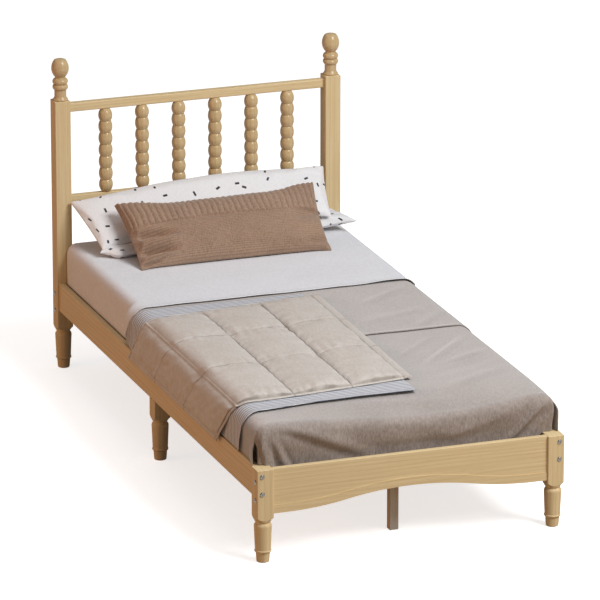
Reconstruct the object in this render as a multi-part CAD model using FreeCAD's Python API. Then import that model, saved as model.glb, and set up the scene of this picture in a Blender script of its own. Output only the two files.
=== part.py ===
import FreeCAD
import Part
import math
import os

# A single platform bed of turned and square wood, dressed with its bedding.
# Millimetres. X runs across the bed, +Y points to the head end, Z up, floor at zero.

V = FreeCAD.Vector

# Mattress that the frame is made for, 36 by 75 inches
mattress_width = 915.0
mattress_length = 1905.0
mattress_thickness = 160.0
mattress_corner = 45.0
mattress_edge = 25.0
side_clearance = 9.0
end_clearance = 4.5

# Square stock of the posts
post_size = 53.0
post_arris = 3.0
post_top_arris = 1.8
head_post_height = 909.5
square_bottom = 148.0
bell_swell = 0.62
bell_middle = 0.42

# Side rails and the slat bed inside them
rail_thickness = 20.0
rail_height = 95.0
rail_underside = 200.0
rail_inset = 6.0
rail_arris = 2.5
slat_drop = 37.0
slat_count = 12
slat_width = 70.0
slat_thickness = 14.0
slat_arris = 2.0
slat_end_gap = 1.5
slat_end_margin = 8.0
ledger_thickness = 24.0
ledger_height = 28.0
ledger_end_gap = 2.0

# Centre beam, its cradles and its legs
beam_width = 30.0
beam_height = 40.0
beam_end_gap = 1.0
cradle_arm = 25.0
cradle_floor = 8.0
centre_leg_size = 28.0
centre_leg_from_end = 138.0
stud_diameter = 8.0
stud_reach = 24.0

# Turned foot, heights from the floor
sole_diameter = 39.0
sole_round = 3.0
toe_diameter = 43.5
ring_height = 35.0
ring_half = 4.0
ring_diameter = 51.4
ankle_diameter = 48.0
shoulder_height = 113.0
shoulder_diameter = 54.0
neck_height = 126.0
neck_half = 3.5
neck_diameter = 44.5
neck_step = 1.0
collar_height = 134.0
collar_diameter = 51.0
collar_cove = 2.0
collar_lip = 1.0
shoulder_roundness = 0.25

# Finial, heights from the top of the post
finial_dowel_diameter = 16.0
finial_dowel_length = 28.0
finial_dowel_room = 2.0
finial_base_diameter = 49.5
finial_base_height = 7.0
finial_stem_diameter = 39.0
finial_stem_top = 36.0
finial_ring_diameter = 51.0
finial_ring_height = 18.5
finial_ring_root = 41.0
finial_neck_diameter = 34.5
finial_neck_height = 7.0
finial_ball_diameter = 57.5
finial_ball_height = 60.0
finial_crown_diameter = 38.0
finial_crown_height = 4.0
finial_ball_fullness = 0.92
finial_lip = 2.0

# Headboard rails and bobbin spindles
headrail_height = 29.5
headrail_depth = 25.0
headrail_arris = 4.0
headrail_tenon = 16.0
headrail_tenon_shoulder = 5.0
top_rail_drop = 40.5
headboard_opening = 282.5
spindle_count = 6
spindle_from_post = 125.5
bead_count = 7
bead_pitch = 39.6
bead_diameter = 46.0
bead_valley_diameter = 36.0
long_bead_middle = 0.54
spindle_end_diameter = 25.0
spindle_tenon_diameter = 15.0
spindle_tenon_length = 15.0

# Footboard, arched below, with a raised band along the arch
footboard_thickness = 20.0
footboard_setback = 6.0
footboard_end_height = 154.0
footboard_arch_rise = 37.5
footboard_arch_half = 400.0
band_height = 26.0
band_proud = 2.5
footboard_arris = 2.0

# Cross rail between the head posts
head_rail_thickness = 20.0
head_rail_height = 110.0
head_rail_underside = 172.0

# Bolts with flat domed heads, barrel nuts and wood screws
bolt_diameter = 6.0
bolt_head_diameter = 14.7
bolt_head_thickness = 3.0
bolt_head_shoulder = 12.5
bolt_head_shoulder_rise = 2.25
bolt_head_edge = 0.75
bolt_socket = 4.0
bolt_socket_depth = 2.2
bolt_reach = 38.0
bolt_room = 2.0
corner_bolt_heights = (275.0, 220.0)
end_bolt_heights = (255.0, 198.0)
nut_diameter = 10.0
nut_length = 14.0
nut_setback = 28.0
hole_play = 0.5
mid_bolt_bite = 14.0
mid_bolt_spread = 15.0
screw_diameter = 4.0
screw_head_diameter = 8.0
screw_bite = 14.0
ledger_screw_count = 4
ledger_screw_margin = 60.0
ledger_screw_rise = 8.0

# Fits between wood and wood, and how far a cut runs out past the face it opens
joint_play = 0.15
overcut = 1.0

# Bedding, its edges measured from the head end or the foot end of the mattress
cloth_gap = 0.3
blanket_thickness = 3.5
blanket_overhang = 20.0
blanket_head_from_head = 662.5
blanket_flap_from_head = 1240.5
blanket_foot_reach = 17.0
blanket_corner_slit = 6.0
blanket_tuck = 24.0
blanket_fold_count = 9
blanket_fold_depth = 5.0
blanket_fold_width = 64.0
blanket_fold_top_width = 22.0
blanket_fold_top_depth = 0.8
blanket_fold_lean = 60.0
cloth_shoulder = 45.0
hem_height = 2.0
sheet_thickness = 3.0
sheet_foot_from_head = 744.5
sheet_side_from_head = 640.5
sheet_drop = 140.0
sheet_shoulder = 31.5
sheet_lap_hem = 6.0
stripe_thickness = 2.0
stripe_foot_from_foot = 116.5
stripe_head_from_head = 756.5
stripe_right_edge = 82.0
throw_foot_from_foot = 238.5
throw_head_from_head = 818.5
throw_right_edge = 108.0
throw_columns = 3
throw_rows = 3
throw_seam = 3.0
throw_puff = 9.0
throw_edge_puff = 4.25
throw_hem_thickness = 4.5
throw_hem_drop = 20.0
throw_hem_pull = 68.0

# Pillows: length, depth between the seams, crown above and below the seam, how much one long side
# is shorter at each end (the lower side, or the upper one if negative), and the middle's place
pillow_seam = 3.0
pillow_ear_pull = 14.0
pillow_end_fill = 0.06
pillow_end_run = 170.0
pillow_station = 0.62
flat_pillow_length = 880.0
flat_pillow_depth = 206.0
flat_pillow_above = 24.0
flat_pillow_below = 20.0
flat_pillow_taper = -50.0
flat_pillow_x = 32.0
flat_pillow_from_head = 102.5
back_pillow_length = 878.0
back_pillow_depth = 216.0
back_pillow_above = 30.0
back_pillow_below = 8.0
back_pillow_taper = 45.0
back_pillow_x = -8.0
back_pillow_from_head = 96.5
back_pillow_lean = 31.0
back_pillow_roll = 2.3
brown_pillow_length = 668.0
brown_pillow_depth = 268.0
brown_pillow_above = 68.0
brown_pillow_below = 28.0
brown_pillow_taper = 5.0
brown_pillow_x = 2.0
brown_pillow_from_head = 250.5
brown_pillow_lean = 33.0

# Places that follow from the sizes above
half_width = mattress_width / 2 + side_clearance + rail_thickness + rail_inset
half_length = mattress_length / 2 + end_clearance + post_size
post_x = half_width - post_size / 2
post_y = half_length - post_size / 2
post_inner_x = half_width - post_size
post_inner_y = half_length - post_size
rail_outer_x = half_width - rail_inset
rail_inner_x = rail_outer_x - rail_thickness
rail_mid_x = rail_outer_x - rail_thickness / 2
rail_top = rail_underside + rail_height
slat_top = rail_top - slat_drop
slat_underside = slat_top - slat_thickness
footboard_front_y = -half_length + footboard_setback
footboard_back_y = footboard_front_y + footboard_thickness
footboard_mid_y = footboard_front_y + footboard_thickness / 2
head_rail_front_y = post_y - head_rail_thickness / 2
ledger_inner_x = rail_inner_x - ledger_thickness
mid_leg_inner_x = rail_outer_x - post_size
mid_leg_x = rail_outer_x - post_size / 2
spindle_spacing = 2 * (post_inner_x - spindle_from_post) / (spindle_count - 1)
top_rail_underside = head_post_height - top_rail_drop
lower_rail_top = top_rail_underside - headboard_opening
lower_rail_underside = lower_rail_top - headrail_height
centre_leg_y = -footboard_back_y - centre_leg_from_end
mattress_end = mattress_length / 2
mattress_top = slat_top + mattress_thickness
mattress_half = mattress_width / 2
blanket_under = mattress_top + cloth_gap
blanket_top = blanket_under + blanket_thickness
flap_top = blanket_top + blanket_thickness
sheet_under = flap_top + cloth_gap
sheet_top = sheet_under + sheet_thickness
stripe_top = sheet_under + stripe_thickness
throw_under = stripe_top + cloth_gap
blanket_half = mattress_half + blanket_overhang
blanket_head_edge = mattress_end - blanket_head_from_head
blanket_flap_edge = mattress_end - blanket_flap_from_head
sheet_foot_edge = mattress_end - sheet_foot_from_head
sheet_side_edge = mattress_end - sheet_side_from_head
stripe_foot_edge = stripe_foot_from_foot - mattress_end
stripe_head_edge = mattress_end - stripe_head_from_head
throw_foot_edge = throw_foot_from_foot - mattress_end
throw_head_edge = mattress_end - throw_head_from_head
throw_shoulder = cloth_shoulder + blanket_thickness + stripe_thickness + 2 * cloth_gap
throw_half = blanket_half - cloth_shoulder + throw_shoulder
throw_low = throw_under - throw_shoulder
screw_length = ledger_thickness + screw_bite

nodes = {}


def box(x0, x1, y0, y1, z0, z1):
    return Part.makeBox(x1 - x0, y1 - y0, z1 - z0, V(x0, y0, z0))


def rod(diameter, start, end):
    run = end - start
    return Part.makeCylinder(diameter / 2, run.Length, start, run)


def soften(shape, radius, direction):
    """Round the straight edges that run along one direction."""
    picked = []
    for edge in shape.Edges:
        ends = edge.Vertexes
        if len(ends) != 2:
            continue
        run = ends[1].Point - ends[0].Point
        if run.cross(direction).Length < 1e-6 * run.Length:
            picked.append(edge)
    return shape.makeFillet(radius, picked)


def outline(place, start, steps):
    """A closed wire. A step is a point for a line, or two points for an arc by way of the first."""
    edges = []
    here = start
    for step in list(steps) + [start]:
        if isinstance(step[0], tuple):
            via, there = step
            edges.append(Part.Arc(place(*here), place(*via), place(*there)).toShape())
        else:
            there = step
            edges.append(Part.LineSegment(place(*here), place(*there)).toShape())
        here = there
    return Part.Wire(edges)


def turned(start, steps):
    """A lathe piece on the Z axis from its half outline of radius and height."""
    face = Part.Face(outline(lambda r, z: V(r, 0, z), start, steps))
    return face.revolve(V(0, 0, 0), V(0, 0, 1), 360)


def moved(shape, x, y, z):
    copy = shape.copy()
    copy.translate(V(x, y, z))
    return copy


def aimed(shape, origin, direction):
    """Turn a piece made along +Z to a direction and put its foot at the origin given."""
    copy = shape.copy()
    copy.Placement = FreeCAD.Placement(origin, FreeCAD.Rotation(V(0, 0, 1), direction))
    return copy


def mirrored(shape):
    return shape.mirror(V(0, 0, 0), V(1, 0, 0))


def both_sides(name, left):
    nodes[name + "_left"] = left
    nodes[name + "_right"] = mirrored(left)


# Posts with square stock above and a turned foot below
def turned_foot():
    sole = sole_diameter / 2
    toe = toe_diameter / 2
    ankle = ankle_diameter / 2
    shoulder = shoulder_diameter / 2
    neck = neck_diameter / 2
    collar = collar_diameter / 2
    bevel = sole_round * (1 - math.sqrt(0.5))
    neck_low = neck_height - neck_half
    neck_high = neck_height + neck_half
    bulge = (shoulder - neck) * shoulder_roundness
    steps = [
        (sole - sole_round, 0.0),
        ((sole - bevel, bevel), (sole, sole_round)),
        (toe, ring_height - ring_half),
        ((ring_diameter / 2, ring_height), (ankle, ring_height + ring_half)),
        (shoulder, shoulder_height),
        ((shoulder - bulge, (shoulder_height + neck_low) / 2 + bulge), (neck + neck_step, neck_low)),
        ((neck, neck_height), (collar - collar_cove, neck_high)),
        (collar, neck_high + collar_lip),
        (collar, collar_height + collar_lip),
        (0.0, collar_height + collar_lip),
    ]
    return turned((0.0, 0.0), steps)


def square_stock(top):
    """Square stock whose lower corners run out in a turned bell, above the foot."""
    half = post_size / 2
    corner = half * math.sqrt(2.0)
    collar = collar_diameter / 2
    stock = box(-half, half, -half, half, collar_height, top)
    stock = soften(stock, post_arris, V(0, 0, 1))
    rise = square_bottom - collar_height
    middle = (collar + (corner - collar) * bell_swell, collar_height + rise * bell_middle)
    bell = turned((0.0, collar_height), [
        (collar, collar_height),
        (middle, (corner, square_bottom)),
        (post_size, square_bottom),
        (post_size, top + post_arris),
        (0.0, top + post_arris),
    ])
    return stock.common(bell)


def eased_top(stock, top):
    """Ease the arris round the top face."""
    edges = [edge for edge in stock.Edges if abs(edge.BoundBox.ZMin - top) < 1e-6]
    return stock.makeFillet(post_top_arris, edges)


def bolt_holes(side, end):
    """Clearance holes in the post at one corner; side is -1 at the left, end is -1 at the foot."""
    cuts = []
    across = half_length + post_arris
    drill = bolt_diameter + 2 * hole_play
    for z in corner_bolt_heights:
        cuts.append(rod(drill, V(side * rail_mid_x, end * (post_inner_y - overcut), z),
                        V(side * rail_mid_x, end * across, z)))
    y = footboard_mid_y if end < 0 else post_y
    for z in end_bolt_heights:
        cuts.append(rod(drill, V(side * (post_inner_x - overcut), y, z),
                        V(side * (half_width + post_arris), y, z)))
    return cuts


def headrail_tenon_box(length, underside, play):
    """The tenon of a headboard rail, or its mortise when it is given play, on the left post."""
    inset = headrail_tenon_shoulder - play
    half = headrail_depth / 2 - inset
    end = -post_inner_x - length
    return box(end, -post_inner_x + overcut, post_y - half, post_y + half,
               underside + inset, underside + headrail_height - inset)


def make_posts():
    foot = turned_foot()
    tall = eased_top(square_stock(head_post_height), head_post_height).fuse(foot)
    short = eased_top(square_stock(rail_top), rail_top).fuse(foot)
    head = moved(tall, -post_x, post_y, 0)
    cuts = bolt_holes(-1, 1)
    for underside in (top_rail_underside, lower_rail_underside):
        cuts.append(headrail_tenon_box(headrail_tenon + overcut, underside, joint_play))
    dowel_depth = finial_dowel_length + finial_dowel_room
    cuts.append(rod(finial_dowel_diameter + 2 * joint_play,
                    V(-post_x, post_y, head_post_height - dowel_depth),
                    V(-post_x, post_y, head_post_height + overcut)))
    both_sides("head_post", head.cut(cuts))
    both_sides("foot_post", moved(short, -post_x, -post_y, 0).cut(bolt_holes(-1, -1)))


def make_finials():
    dowel = finial_dowel_diameter / 2
    base = finial_base_diameter / 2
    stem = finial_stem_diameter / 2
    ring = finial_ring_diameter / 2
    root = finial_ring_root / 2
    neck = finial_neck_diameter / 2
    ball = finial_ball_diameter / 2
    crown = finial_crown_diameter / 2
    ring_top = finial_stem_top + 2 * finial_ring_height
    ball_low = ring_top + finial_neck_height
    ball_top = ball_low + finial_ball_height
    crown_low = ball_top - finial_crown_height
    dome = (crown * crown + finial_crown_height * finial_crown_height) / (2 * finial_crown_height)
    dome_turn = math.asin(crown / dome) / 2
    dome_middle = (dome * math.sin(dome_turn), ball_top - dome * (1 - math.cos(dome_turn)))
    widest = (ball_low + crown_low) / 2
    quarter = (crown_low - ball_low) / 4
    steps = [
        (dowel, -finial_dowel_length),
        (dowel, 0.0),
        (base - finial_lip, 0.0),
        ((base, finial_base_height / 2), (base - finial_lip, finial_base_height)),
        (stem + finial_lip, finial_base_height + finial_lip),
        (stem, finial_base_height + 3 * finial_lip),
        (stem, finial_stem_top),
        (root, finial_stem_top),
    ]
    low = finial_stem_top
    for turn in range(2):
        steps.append(((ring, low + finial_ring_height / 2), (root, low + finial_ring_height)))
        low += finial_ring_height
    steps += [
        (neck + finial_lip, ring_top),
        ((neck, ring_top + finial_neck_height / 2), (neck + finial_lip / 2, ball_low)),
        ((ball * finial_ball_fullness, widest - quarter), (ball, widest)),
        ((ball * finial_ball_fullness, widest + quarter), (crown, crown_low)),
        (dome_middle, (0.0, ball_top)),
    ]
    finial = turned((0.0, -finial_dowel_length), steps)
    both_sides("finial", moved(finial, -post_x, post_y, head_post_height))


# Headboard
def spindle_places():
    first = -spindle_spacing * (spindle_count - 1) / 2
    return [first + spindle_spacing * i for i in range(spindle_count)]


def make_headboard_rail(name, underside, socket_z, socket_dir):
    rail = box(-post_inner_x, post_inner_x, post_y - headrail_depth / 2, post_y + headrail_depth / 2,
               underside, underside + headrail_height)
    rail = soften(rail, headrail_arris, V(1, 0, 0))
    tenon = headrail_tenon_box(headrail_tenon, underside, 0.0)
    rail = rail.fuse([tenon, mirrored(tenon)])
    sockets = []
    for x in spindle_places():
        open_end = V(x, post_y, socket_z - socket_dir * overcut)
        blind_end = V(x, post_y, socket_z + socket_dir * (spindle_tenon_length + overcut))
        sockets.append(rod(spindle_tenon_diameter + 2 * joint_play, open_end, blind_end))
    nodes[name] = rail.cut(sockets)


def make_spindles():
    """Bobbin spindles: a string of round beads with a longer bead at each end."""
    length = top_rail_underside - lower_rail_top
    tenon = spindle_tenon_diameter / 2
    end = spindle_end_diameter / 2
    bead = bead_diameter / 2
    valley = bead_valley_diameter / 2
    long_bead = (length - (bead_count - 2) * bead_pitch) / 2
    steps = [
        (tenon, -spindle_tenon_length),
        (tenon, 0.0),
        (end, 0.0),
        ((bead, long_bead * long_bead_middle), (valley, long_bead)),
    ]
    z = long_bead
    for turn in range(bead_count - 2):
        steps.append(((bead, z + bead_pitch / 2), (valley, z + bead_pitch)))
        z += bead_pitch
    steps += [
        ((bead, length - long_bead * long_bead_middle), (end, length)),
        (tenon, length),
        (tenon, length + spindle_tenon_length),
        (0.0, length + spindle_tenon_length),
    ]
    spindle = turned((0.0, -spindle_tenon_length), steps)
    for i, x in enumerate(spindle_places()):
        nodes["spindle_%d" % (i + 1)] = moved(spindle, x, post_y, lower_rail_top)


# Rails
def nut_pocket(centre, direction):
    """Blind hole for a barrel nut, open to the side that the direction points to."""
    bottom = centre - direction * (nut_length / 2 + joint_play)
    return rod(nut_diameter + 2 * joint_play, bottom, centre + direction * rail_thickness)


def make_side_rails():
    rail = box(-rail_outer_x, -rail_inner_x, -post_inner_y, post_inner_y, rail_underside, rail_top)
    rail = soften(rail, rail_arris, V(0, 1, 0))
    cuts = []
    drill = bolt_diameter + 2 * hole_play
    for end in (-1, 1):
        for z in corner_bolt_heights:
            deep = end * (post_inner_y - bolt_reach - bolt_room)
            mouth = V(-rail_mid_x, end * (post_inner_y + overcut), z)
            cuts.append(rod(drill, mouth, V(-rail_mid_x, deep, z)))
            centre = V(-rail_mid_x, end * (post_inner_y - nut_setback), z)
            cuts.append(nut_pocket(centre, V(1, 0, 0)))
    for y in (-mid_bolt_spread, mid_bolt_spread):
        z = (rail_underside + slat_underside) / 2
        cuts.append(rod(bolt_diameter + 2 * joint_play, V(-rail_inner_x + overcut, y, z),
                        V(-rail_inner_x - mid_bolt_bite - overcut, y, z)))
    both_sides("side_rail", rail.cut(cuts + ledger_screws_left(joint_play)))


def end_rail_cuts(y_mid, y_dir):
    """Bolt holes and nut pockets in both ends of a cross piece between two posts."""
    cuts = []
    drill = bolt_diameter + 2 * hole_play
    for side in (-1, 1):
        for z in end_bolt_heights:
            deep = side * (post_inner_x - bolt_reach - bolt_room)
            cuts.append(rod(drill, V(side * (post_inner_x + overcut), y_mid, z), V(deep, y_mid, z)))
            centre = V(side * (post_inner_x - nut_setback), y_mid, z)
            cuts.append(nut_pocket(centre, V(0, y_dir, 0)))
    return cuts


def arch(lift):
    """The ogee along the footboard's lower edge, raised by a lift: its points and the arcs' middles."""
    half = footboard_arch_half
    low = footboard_end_height + lift
    rise = footboard_arch_rise
    radius = (half * half / 4 + rise * rise / 4) / rise
    angle = math.asin(half / 2 / radius) / 2
    run = radius * math.sin(angle)
    sag = radius * (1 - math.cos(angle))
    high = low + rise
    middle = low + rise / 2
    points = [(-half, low), (-half / 2, middle), (0.0, high), (half / 2, middle), (half, low)]
    middles = [(-half + run, low + sag), (-run, high - sag), (run, high - sag), (half - run, low + sag)]
    return points, middles


def make_footboard():
    def at(y):
        return lambda x, z: V(x, y, z)

    end = post_inner_x
    low = footboard_end_height
    face_y = footboard_front_y + band_proud
    points, middles = arch(0.0)
    lower = [points[0]] + [(middles[i], points[i + 1]) for i in range(4)] + [(end, low)]
    points, middles = arch(band_height)
    upper = [(end, low + band_height), points[4]]
    upper += [(middles[i], points[i]) for i in (3, 2, 1, 0)] + [(-end, low + band_height)]
    board = Part.Face(outline(at(face_y), (-end, low), lower + [(end, rail_top), (-end, rail_top)]))
    board = board.extrude(V(0, footboard_back_y - face_y, 0))
    band = Part.Face(outline(at(footboard_front_y), (-end, low), lower + upper))
    band = band.extrude(V(0, band_proud, 0))
    board = board.fuse(band).removeSplitter()
    top_edges = [e for e in board.Edges if e.BoundBox.ZMin > rail_top - 1e-6 and e.Length > post_size]
    board = board.makeFillet(footboard_arris, top_edges)
    cuts = end_rail_cuts(footboard_mid_y, 1) + cradle_screw_holes(-1)
    nodes["footboard"] = board.cut(cuts)


def make_head_rail():
    rail = box(-post_inner_x, post_inner_x, head_rail_front_y, head_rail_front_y + head_rail_thickness,
               head_rail_underside, head_rail_underside + head_rail_height)
    rail = soften(rail, rail_arris, V(1, 0, 0))
    nodes["head_end_rail"] = rail.cut(end_rail_cuts(post_y, -1) + cradle_screw_holes(1))


# Fasteners
def bolt(length):
    """A furniture bolt along +Z with its head below zero."""
    rim = bolt_head_diameter / 2
    high = bolt_head_thickness
    shank = bolt_diameter / 2
    body = turned((0.0, -high), [
        (bolt_socket, -high),
        ((bolt_head_shoulder / 2, -bolt_head_shoulder_rise), (rim, -bolt_head_edge)),
        (rim, 0.0),
        (shank, 0.0),
        (shank, length),
        (0.0, length),
    ])
    corner = bolt_socket / math.sqrt(3.0)
    turns = [i * math.pi / 3 for i in range(7)]
    hexagon = Part.makePolygon([V(corner * math.cos(a), corner * math.sin(a), -high) for a in turns])
    return body.cut(Part.Face(hexagon).extrude(V(0, 0, bolt_socket_depth)))


def screw(length, play):
    """A countersunk wood screw along +Z with its head at zero, or its hole when it is given play."""
    rim = screw_head_diameter / 2 + play
    shank = screw_diameter / 2 + play
    tip = length + play
    return turned((0.0, 0.0), [(rim, 0.0), (shank, rim - shank), (shank, tip), (0.0, tip)])


def barrel_nut(centre, direction, bolt_direction):
    half = direction * (nut_length / 2)
    drill = bolt_direction * nut_diameter
    nut = rod(nut_diameter, centre - half, centre + half)
    return nut.cut(rod(bolt_diameter + 2 * joint_play, centre - drill, centre + drill))


def make_bolts():
    piece = bolt(post_size + bolt_reach)
    corner_bolts = []
    corner_nuts = []
    end_bolts = []
    end_nuts = []
    for side in (-1, 1):
        for end in (-1, 1):
            inward = V(0, -end, 0)
            for z in corner_bolt_heights:
                corner_bolts.append(aimed(piece, V(side * rail_mid_x, end * half_length, z), inward))
                centre = V(side * rail_mid_x, end * (post_inner_y - nut_setback), z)
                corner_nuts.append(barrel_nut(centre, V(1, 0, 0), inward))
            y = footboard_mid_y if end < 0 else post_y
            inward = V(-side, 0, 0)
            for z in end_bolt_heights:
                end_bolts.append(aimed(piece, V(side * half_width, y, z), inward))
                centre = V(side * (post_inner_x - nut_setback), y, z)
                end_nuts.append(barrel_nut(centre, V(0, 1, 0), inward))
    nodes["corner_bolts"] = Part.makeCompound(corner_bolts)
    nodes["corner_barrel_nuts"] = Part.makeCompound(corner_nuts)
    nodes["end_rail_bolts"] = Part.makeCompound(end_bolts)
    nodes["end_rail_barrel_nuts"] = Part.makeCompound(end_nuts)


# Legs under the middle of each side rail
def mid_bolt_places():
    z = (rail_underside + slat_underside) / 2
    return [V(-mid_leg_inner_x, y, z) for y in (-mid_bolt_spread, mid_bolt_spread)]


def make_mid_legs():
    leg = square_stock(slat_underside).fuse(turned_foot())
    leg = moved(leg, -mid_leg_x, 0, 0)
    notch = box(-rail_outer_x - overcut, -rail_inner_x, -post_size, post_size, rail_underside, rail_top)
    drill = bolt_diameter + 2 * hole_play
    holes = [rod(drill, p, p - V(post_size, 0, 0)) for p in mid_bolt_places()]
    both_sides("mid_leg", leg.cut([notch] + holes))
    piece = bolt(rail_inner_x - mid_leg_inner_x + mid_bolt_bite)
    left = [aimed(piece, p, V(-1, 0, 0)) for p in mid_bolt_places()]
    nodes["mid_leg_bolts"] = Part.makeCompound(left + [mirrored(b) for b in left])


# Slat bed
def slat_places():
    first = -post_inner_y + slat_end_margin + slat_width / 2
    step = -2 * first / (slat_count - 1)
    return [first + step * i for i in range(slat_count)]


def ledger_spans():
    """Start and end of the two strips along a rail, one on each side of the mid leg."""
    near = post_size / 2 + ledger_end_gap
    far = post_inner_y - ledger_end_gap
    return {"foot": (-far, -near), "head": (near, far)}


def slat_screws_left(play):
    length = slat_thickness + screw_bite
    x = -ledger_inner_x - ledger_thickness / 2
    return [aimed(screw(length, play), V(x, y, slat_top), V(0, 0, -1)) for y in slat_places()]


def ledger_screws_left(play):
    z = slat_underside - ledger_height + ledger_screw_rise
    found = []
    for start, stop in ledger_spans().values():
        step = (stop - start - 2 * ledger_screw_margin) / (ledger_screw_count - 1)
        for i in range(ledger_screw_count):
            place = V(-ledger_inner_x, start + ledger_screw_margin + step * i, z)
            found.append(aimed(screw(screw_length, play), place, V(-1, 0, 0)))
    return found


def cradle_screws(end, play):
    """The two screws of the beam cradle at one end of the bed."""
    wall = footboard_back_y if end < 0 else head_rail_front_y
    z = slat_underside - beam_height / 2
    x = beam_width / 2 + cradle_arm / 2
    direction = V(0, end, 0)
    places = [V(side * x, wall - end * ledger_thickness, z) for side in (-1, 1)]
    return [aimed(screw(screw_length, play), place, direction) for place in places]


def cradle_screw_holes(end):
    return cradle_screws(end, joint_play)


def make_slat_bed():
    holes = slat_screws_left(joint_play)
    fixings = ledger_screws_left(joint_play)
    for name, (start, stop) in ledger_spans().items():
        strip = box(-rail_inner_x, -ledger_inner_x, start, stop,
                    slat_underside - ledger_height, slat_underside)
        strip = strip.cut(holes + fixings)
        nodes["ledger_left_" + name] = strip
        nodes["ledger_right_" + name] = mirrored(strip)
    reach = rail_inner_x - slat_end_gap
    for i, y in enumerate(slat_places()):
        slat = box(-reach, reach, y - slat_width / 2, y + slat_width / 2, slat_underside, slat_top)
        slat = soften(slat, slat_arris, V(1, 0, 0))
        nodes["slat_%02d" % (i + 1)] = slat.cut([holes[i], mirrored(holes[i])])
    left = slat_screws_left(0.0)
    nodes["slat_screws"] = Part.makeCompound(left + [mirrored(s) for s in left])
    left = ledger_screws_left(0.0)
    rest = cradle_screws(-1, 0.0) + cradle_screws(1, 0.0)
    nodes["support_screws"] = Part.makeCompound(left + [mirrored(s) for s in left] + rest)


def make_beam():
    bottom = slat_underside - beam_height
    half = beam_width / 2
    outer = half + cradle_arm
    slot = half + joint_play
    studs = []
    stud_holes = []
    for i, name in enumerate(("foot", "middle", "head")):
        y = centre_leg_y * (i - 1)
        low = V(0, y, bottom - stud_reach)
        high = V(0, y, bottom + stud_reach)
        studs.append(rod(stud_diameter, low, high))
        extra = V(0, 0, overcut)
        stud_holes.append(rod(stud_diameter + 2 * joint_play, low - extra, high + extra))
        side = centre_leg_size / 2
        leg = soften(box(-side, side, y - side, y + side, 0, bottom), slat_arris, V(0, 0, 1))
        nodes["centre_leg_" + name] = leg.cut(stud_holes[-1])
    nodes["centre_leg_studs"] = Part.makeCompound(studs)
    beam = box(-half, half, footboard_back_y + beam_end_gap, head_rail_front_y - beam_end_gap,
               bottom, slat_underside)
    nodes["centre_beam"] = beam.cut(stud_holes)
    for name, end, wall in (("foot", -1, footboard_back_y), ("head", 1, head_rail_front_y)):
        inner = wall - end * ledger_thickness
        low, high = sorted((wall, inner))
        cradle = box(-outer, outer, low, high, bottom - cradle_floor, slat_underside)
        bed = box(-slot, slot, low - overcut, high + overcut, bottom, slat_top)
        nodes["beam_cradle_" + name] = cradle.cut([bed] + cradle_screw_holes(end))


# Mattress and bedding
def make_mattress():
    block = box(-mattress_half, mattress_half, -mattress_end, mattress_end, slat_top, mattress_top)
    block = soften(block, mattress_corner, V(0, 0, 1))
    rims = [e for e in block.Edges if abs(e.BoundBox.ZMax - e.BoundBox.ZMin) < 1e-6]
    nodes["mattress"] = block.makeFillet(mattress_edge, rims)


def cover_section(half, top, hem, shoulder, thickness, right_edge=None):
    """Section of cloth over the mattress: down both sides, or down the left side to a right edge."""
    inner = shoulder - thickness
    low = top - shoulder
    bend = math.sqrt(0.5)
    x = half - shoulder
    outer_left = ((-x - shoulder * bend, low + shoulder * bend), (-x, top))
    inner_left = ((-x - inner * bend, low + inner * bend), (-half + thickness, low))
    steps = [(-half, low), outer_left]
    if right_edge is None:
        steps += [
            (x, top),
            ((x + shoulder * bend, low + shoulder * bend), (half, low)),
            (half, hem),
            (half - thickness, hem),
            (half - thickness, low),
            ((x + inner * bend, low + inner * bend), (x, top - thickness)),
        ]
    else:
        steps += [(right_edge, top), (right_edge, top - thickness)]
    steps += [(-x, top - thickness), inner_left, (-half + thickness, hem)]
    return (-half, hem), steps


def drape(section, start_y, stop_y):
    start, steps = section
    face = Part.Face(outline(lambda x, z: V(x, start_y, z), start, steps))
    return face.extrude(V(0, stop_y - start_y, 0))


def foot_fall(reach, top, low, shoulder, half, far):
    """Filled block under a cover that runs from the head side over the foot end and down."""
    bend = math.sqrt(0.5)
    y = -reach + shoulder
    steps = [
        (-reach, top - shoulder),
        ((y - shoulder * bend, top - shoulder + shoulder * bend), (y, top)),
        (far, top),
        (far, low),
    ]
    face = Part.Face(outline(lambda y, z: V(-half, y, z), (-reach, low), steps))
    return face.extrude(V(2 * half, 0, 0))


def filled_cover(half, top, hem, shoulder, start_y, stop_y):
    bend = math.sqrt(0.5)
    x = half - shoulder
    low = top - shoulder
    steps = [
        (-half, low),
        ((-x - shoulder * bend, low + shoulder * bend), (-x, top)),
        (x, top),
        ((x + shoulder * bend, low + shoulder * bend), (half, low)),
        (half, hem),
    ]
    return drape(((-half, hem), steps), start_y, stop_y)


def fold_ridge(x, lean, face_y, low, high):
    """A soft fold on the hanging end of the blanket, wider and further in at its foot."""
    def ring(middle, z, half, depth):
        return outline(lambda px, py: V(px, py, z), (middle - half, face_y),
                       [((middle, face_y - depth), (middle + half, face_y))])

    foot = ring(x, low, blanket_fold_width / 2, blanket_fold_depth)
    head = ring(x + lean, high, blanket_fold_top_width / 2, blanket_fold_top_depth)
    return Part.makeLoft([foot, head], True, True)


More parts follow.
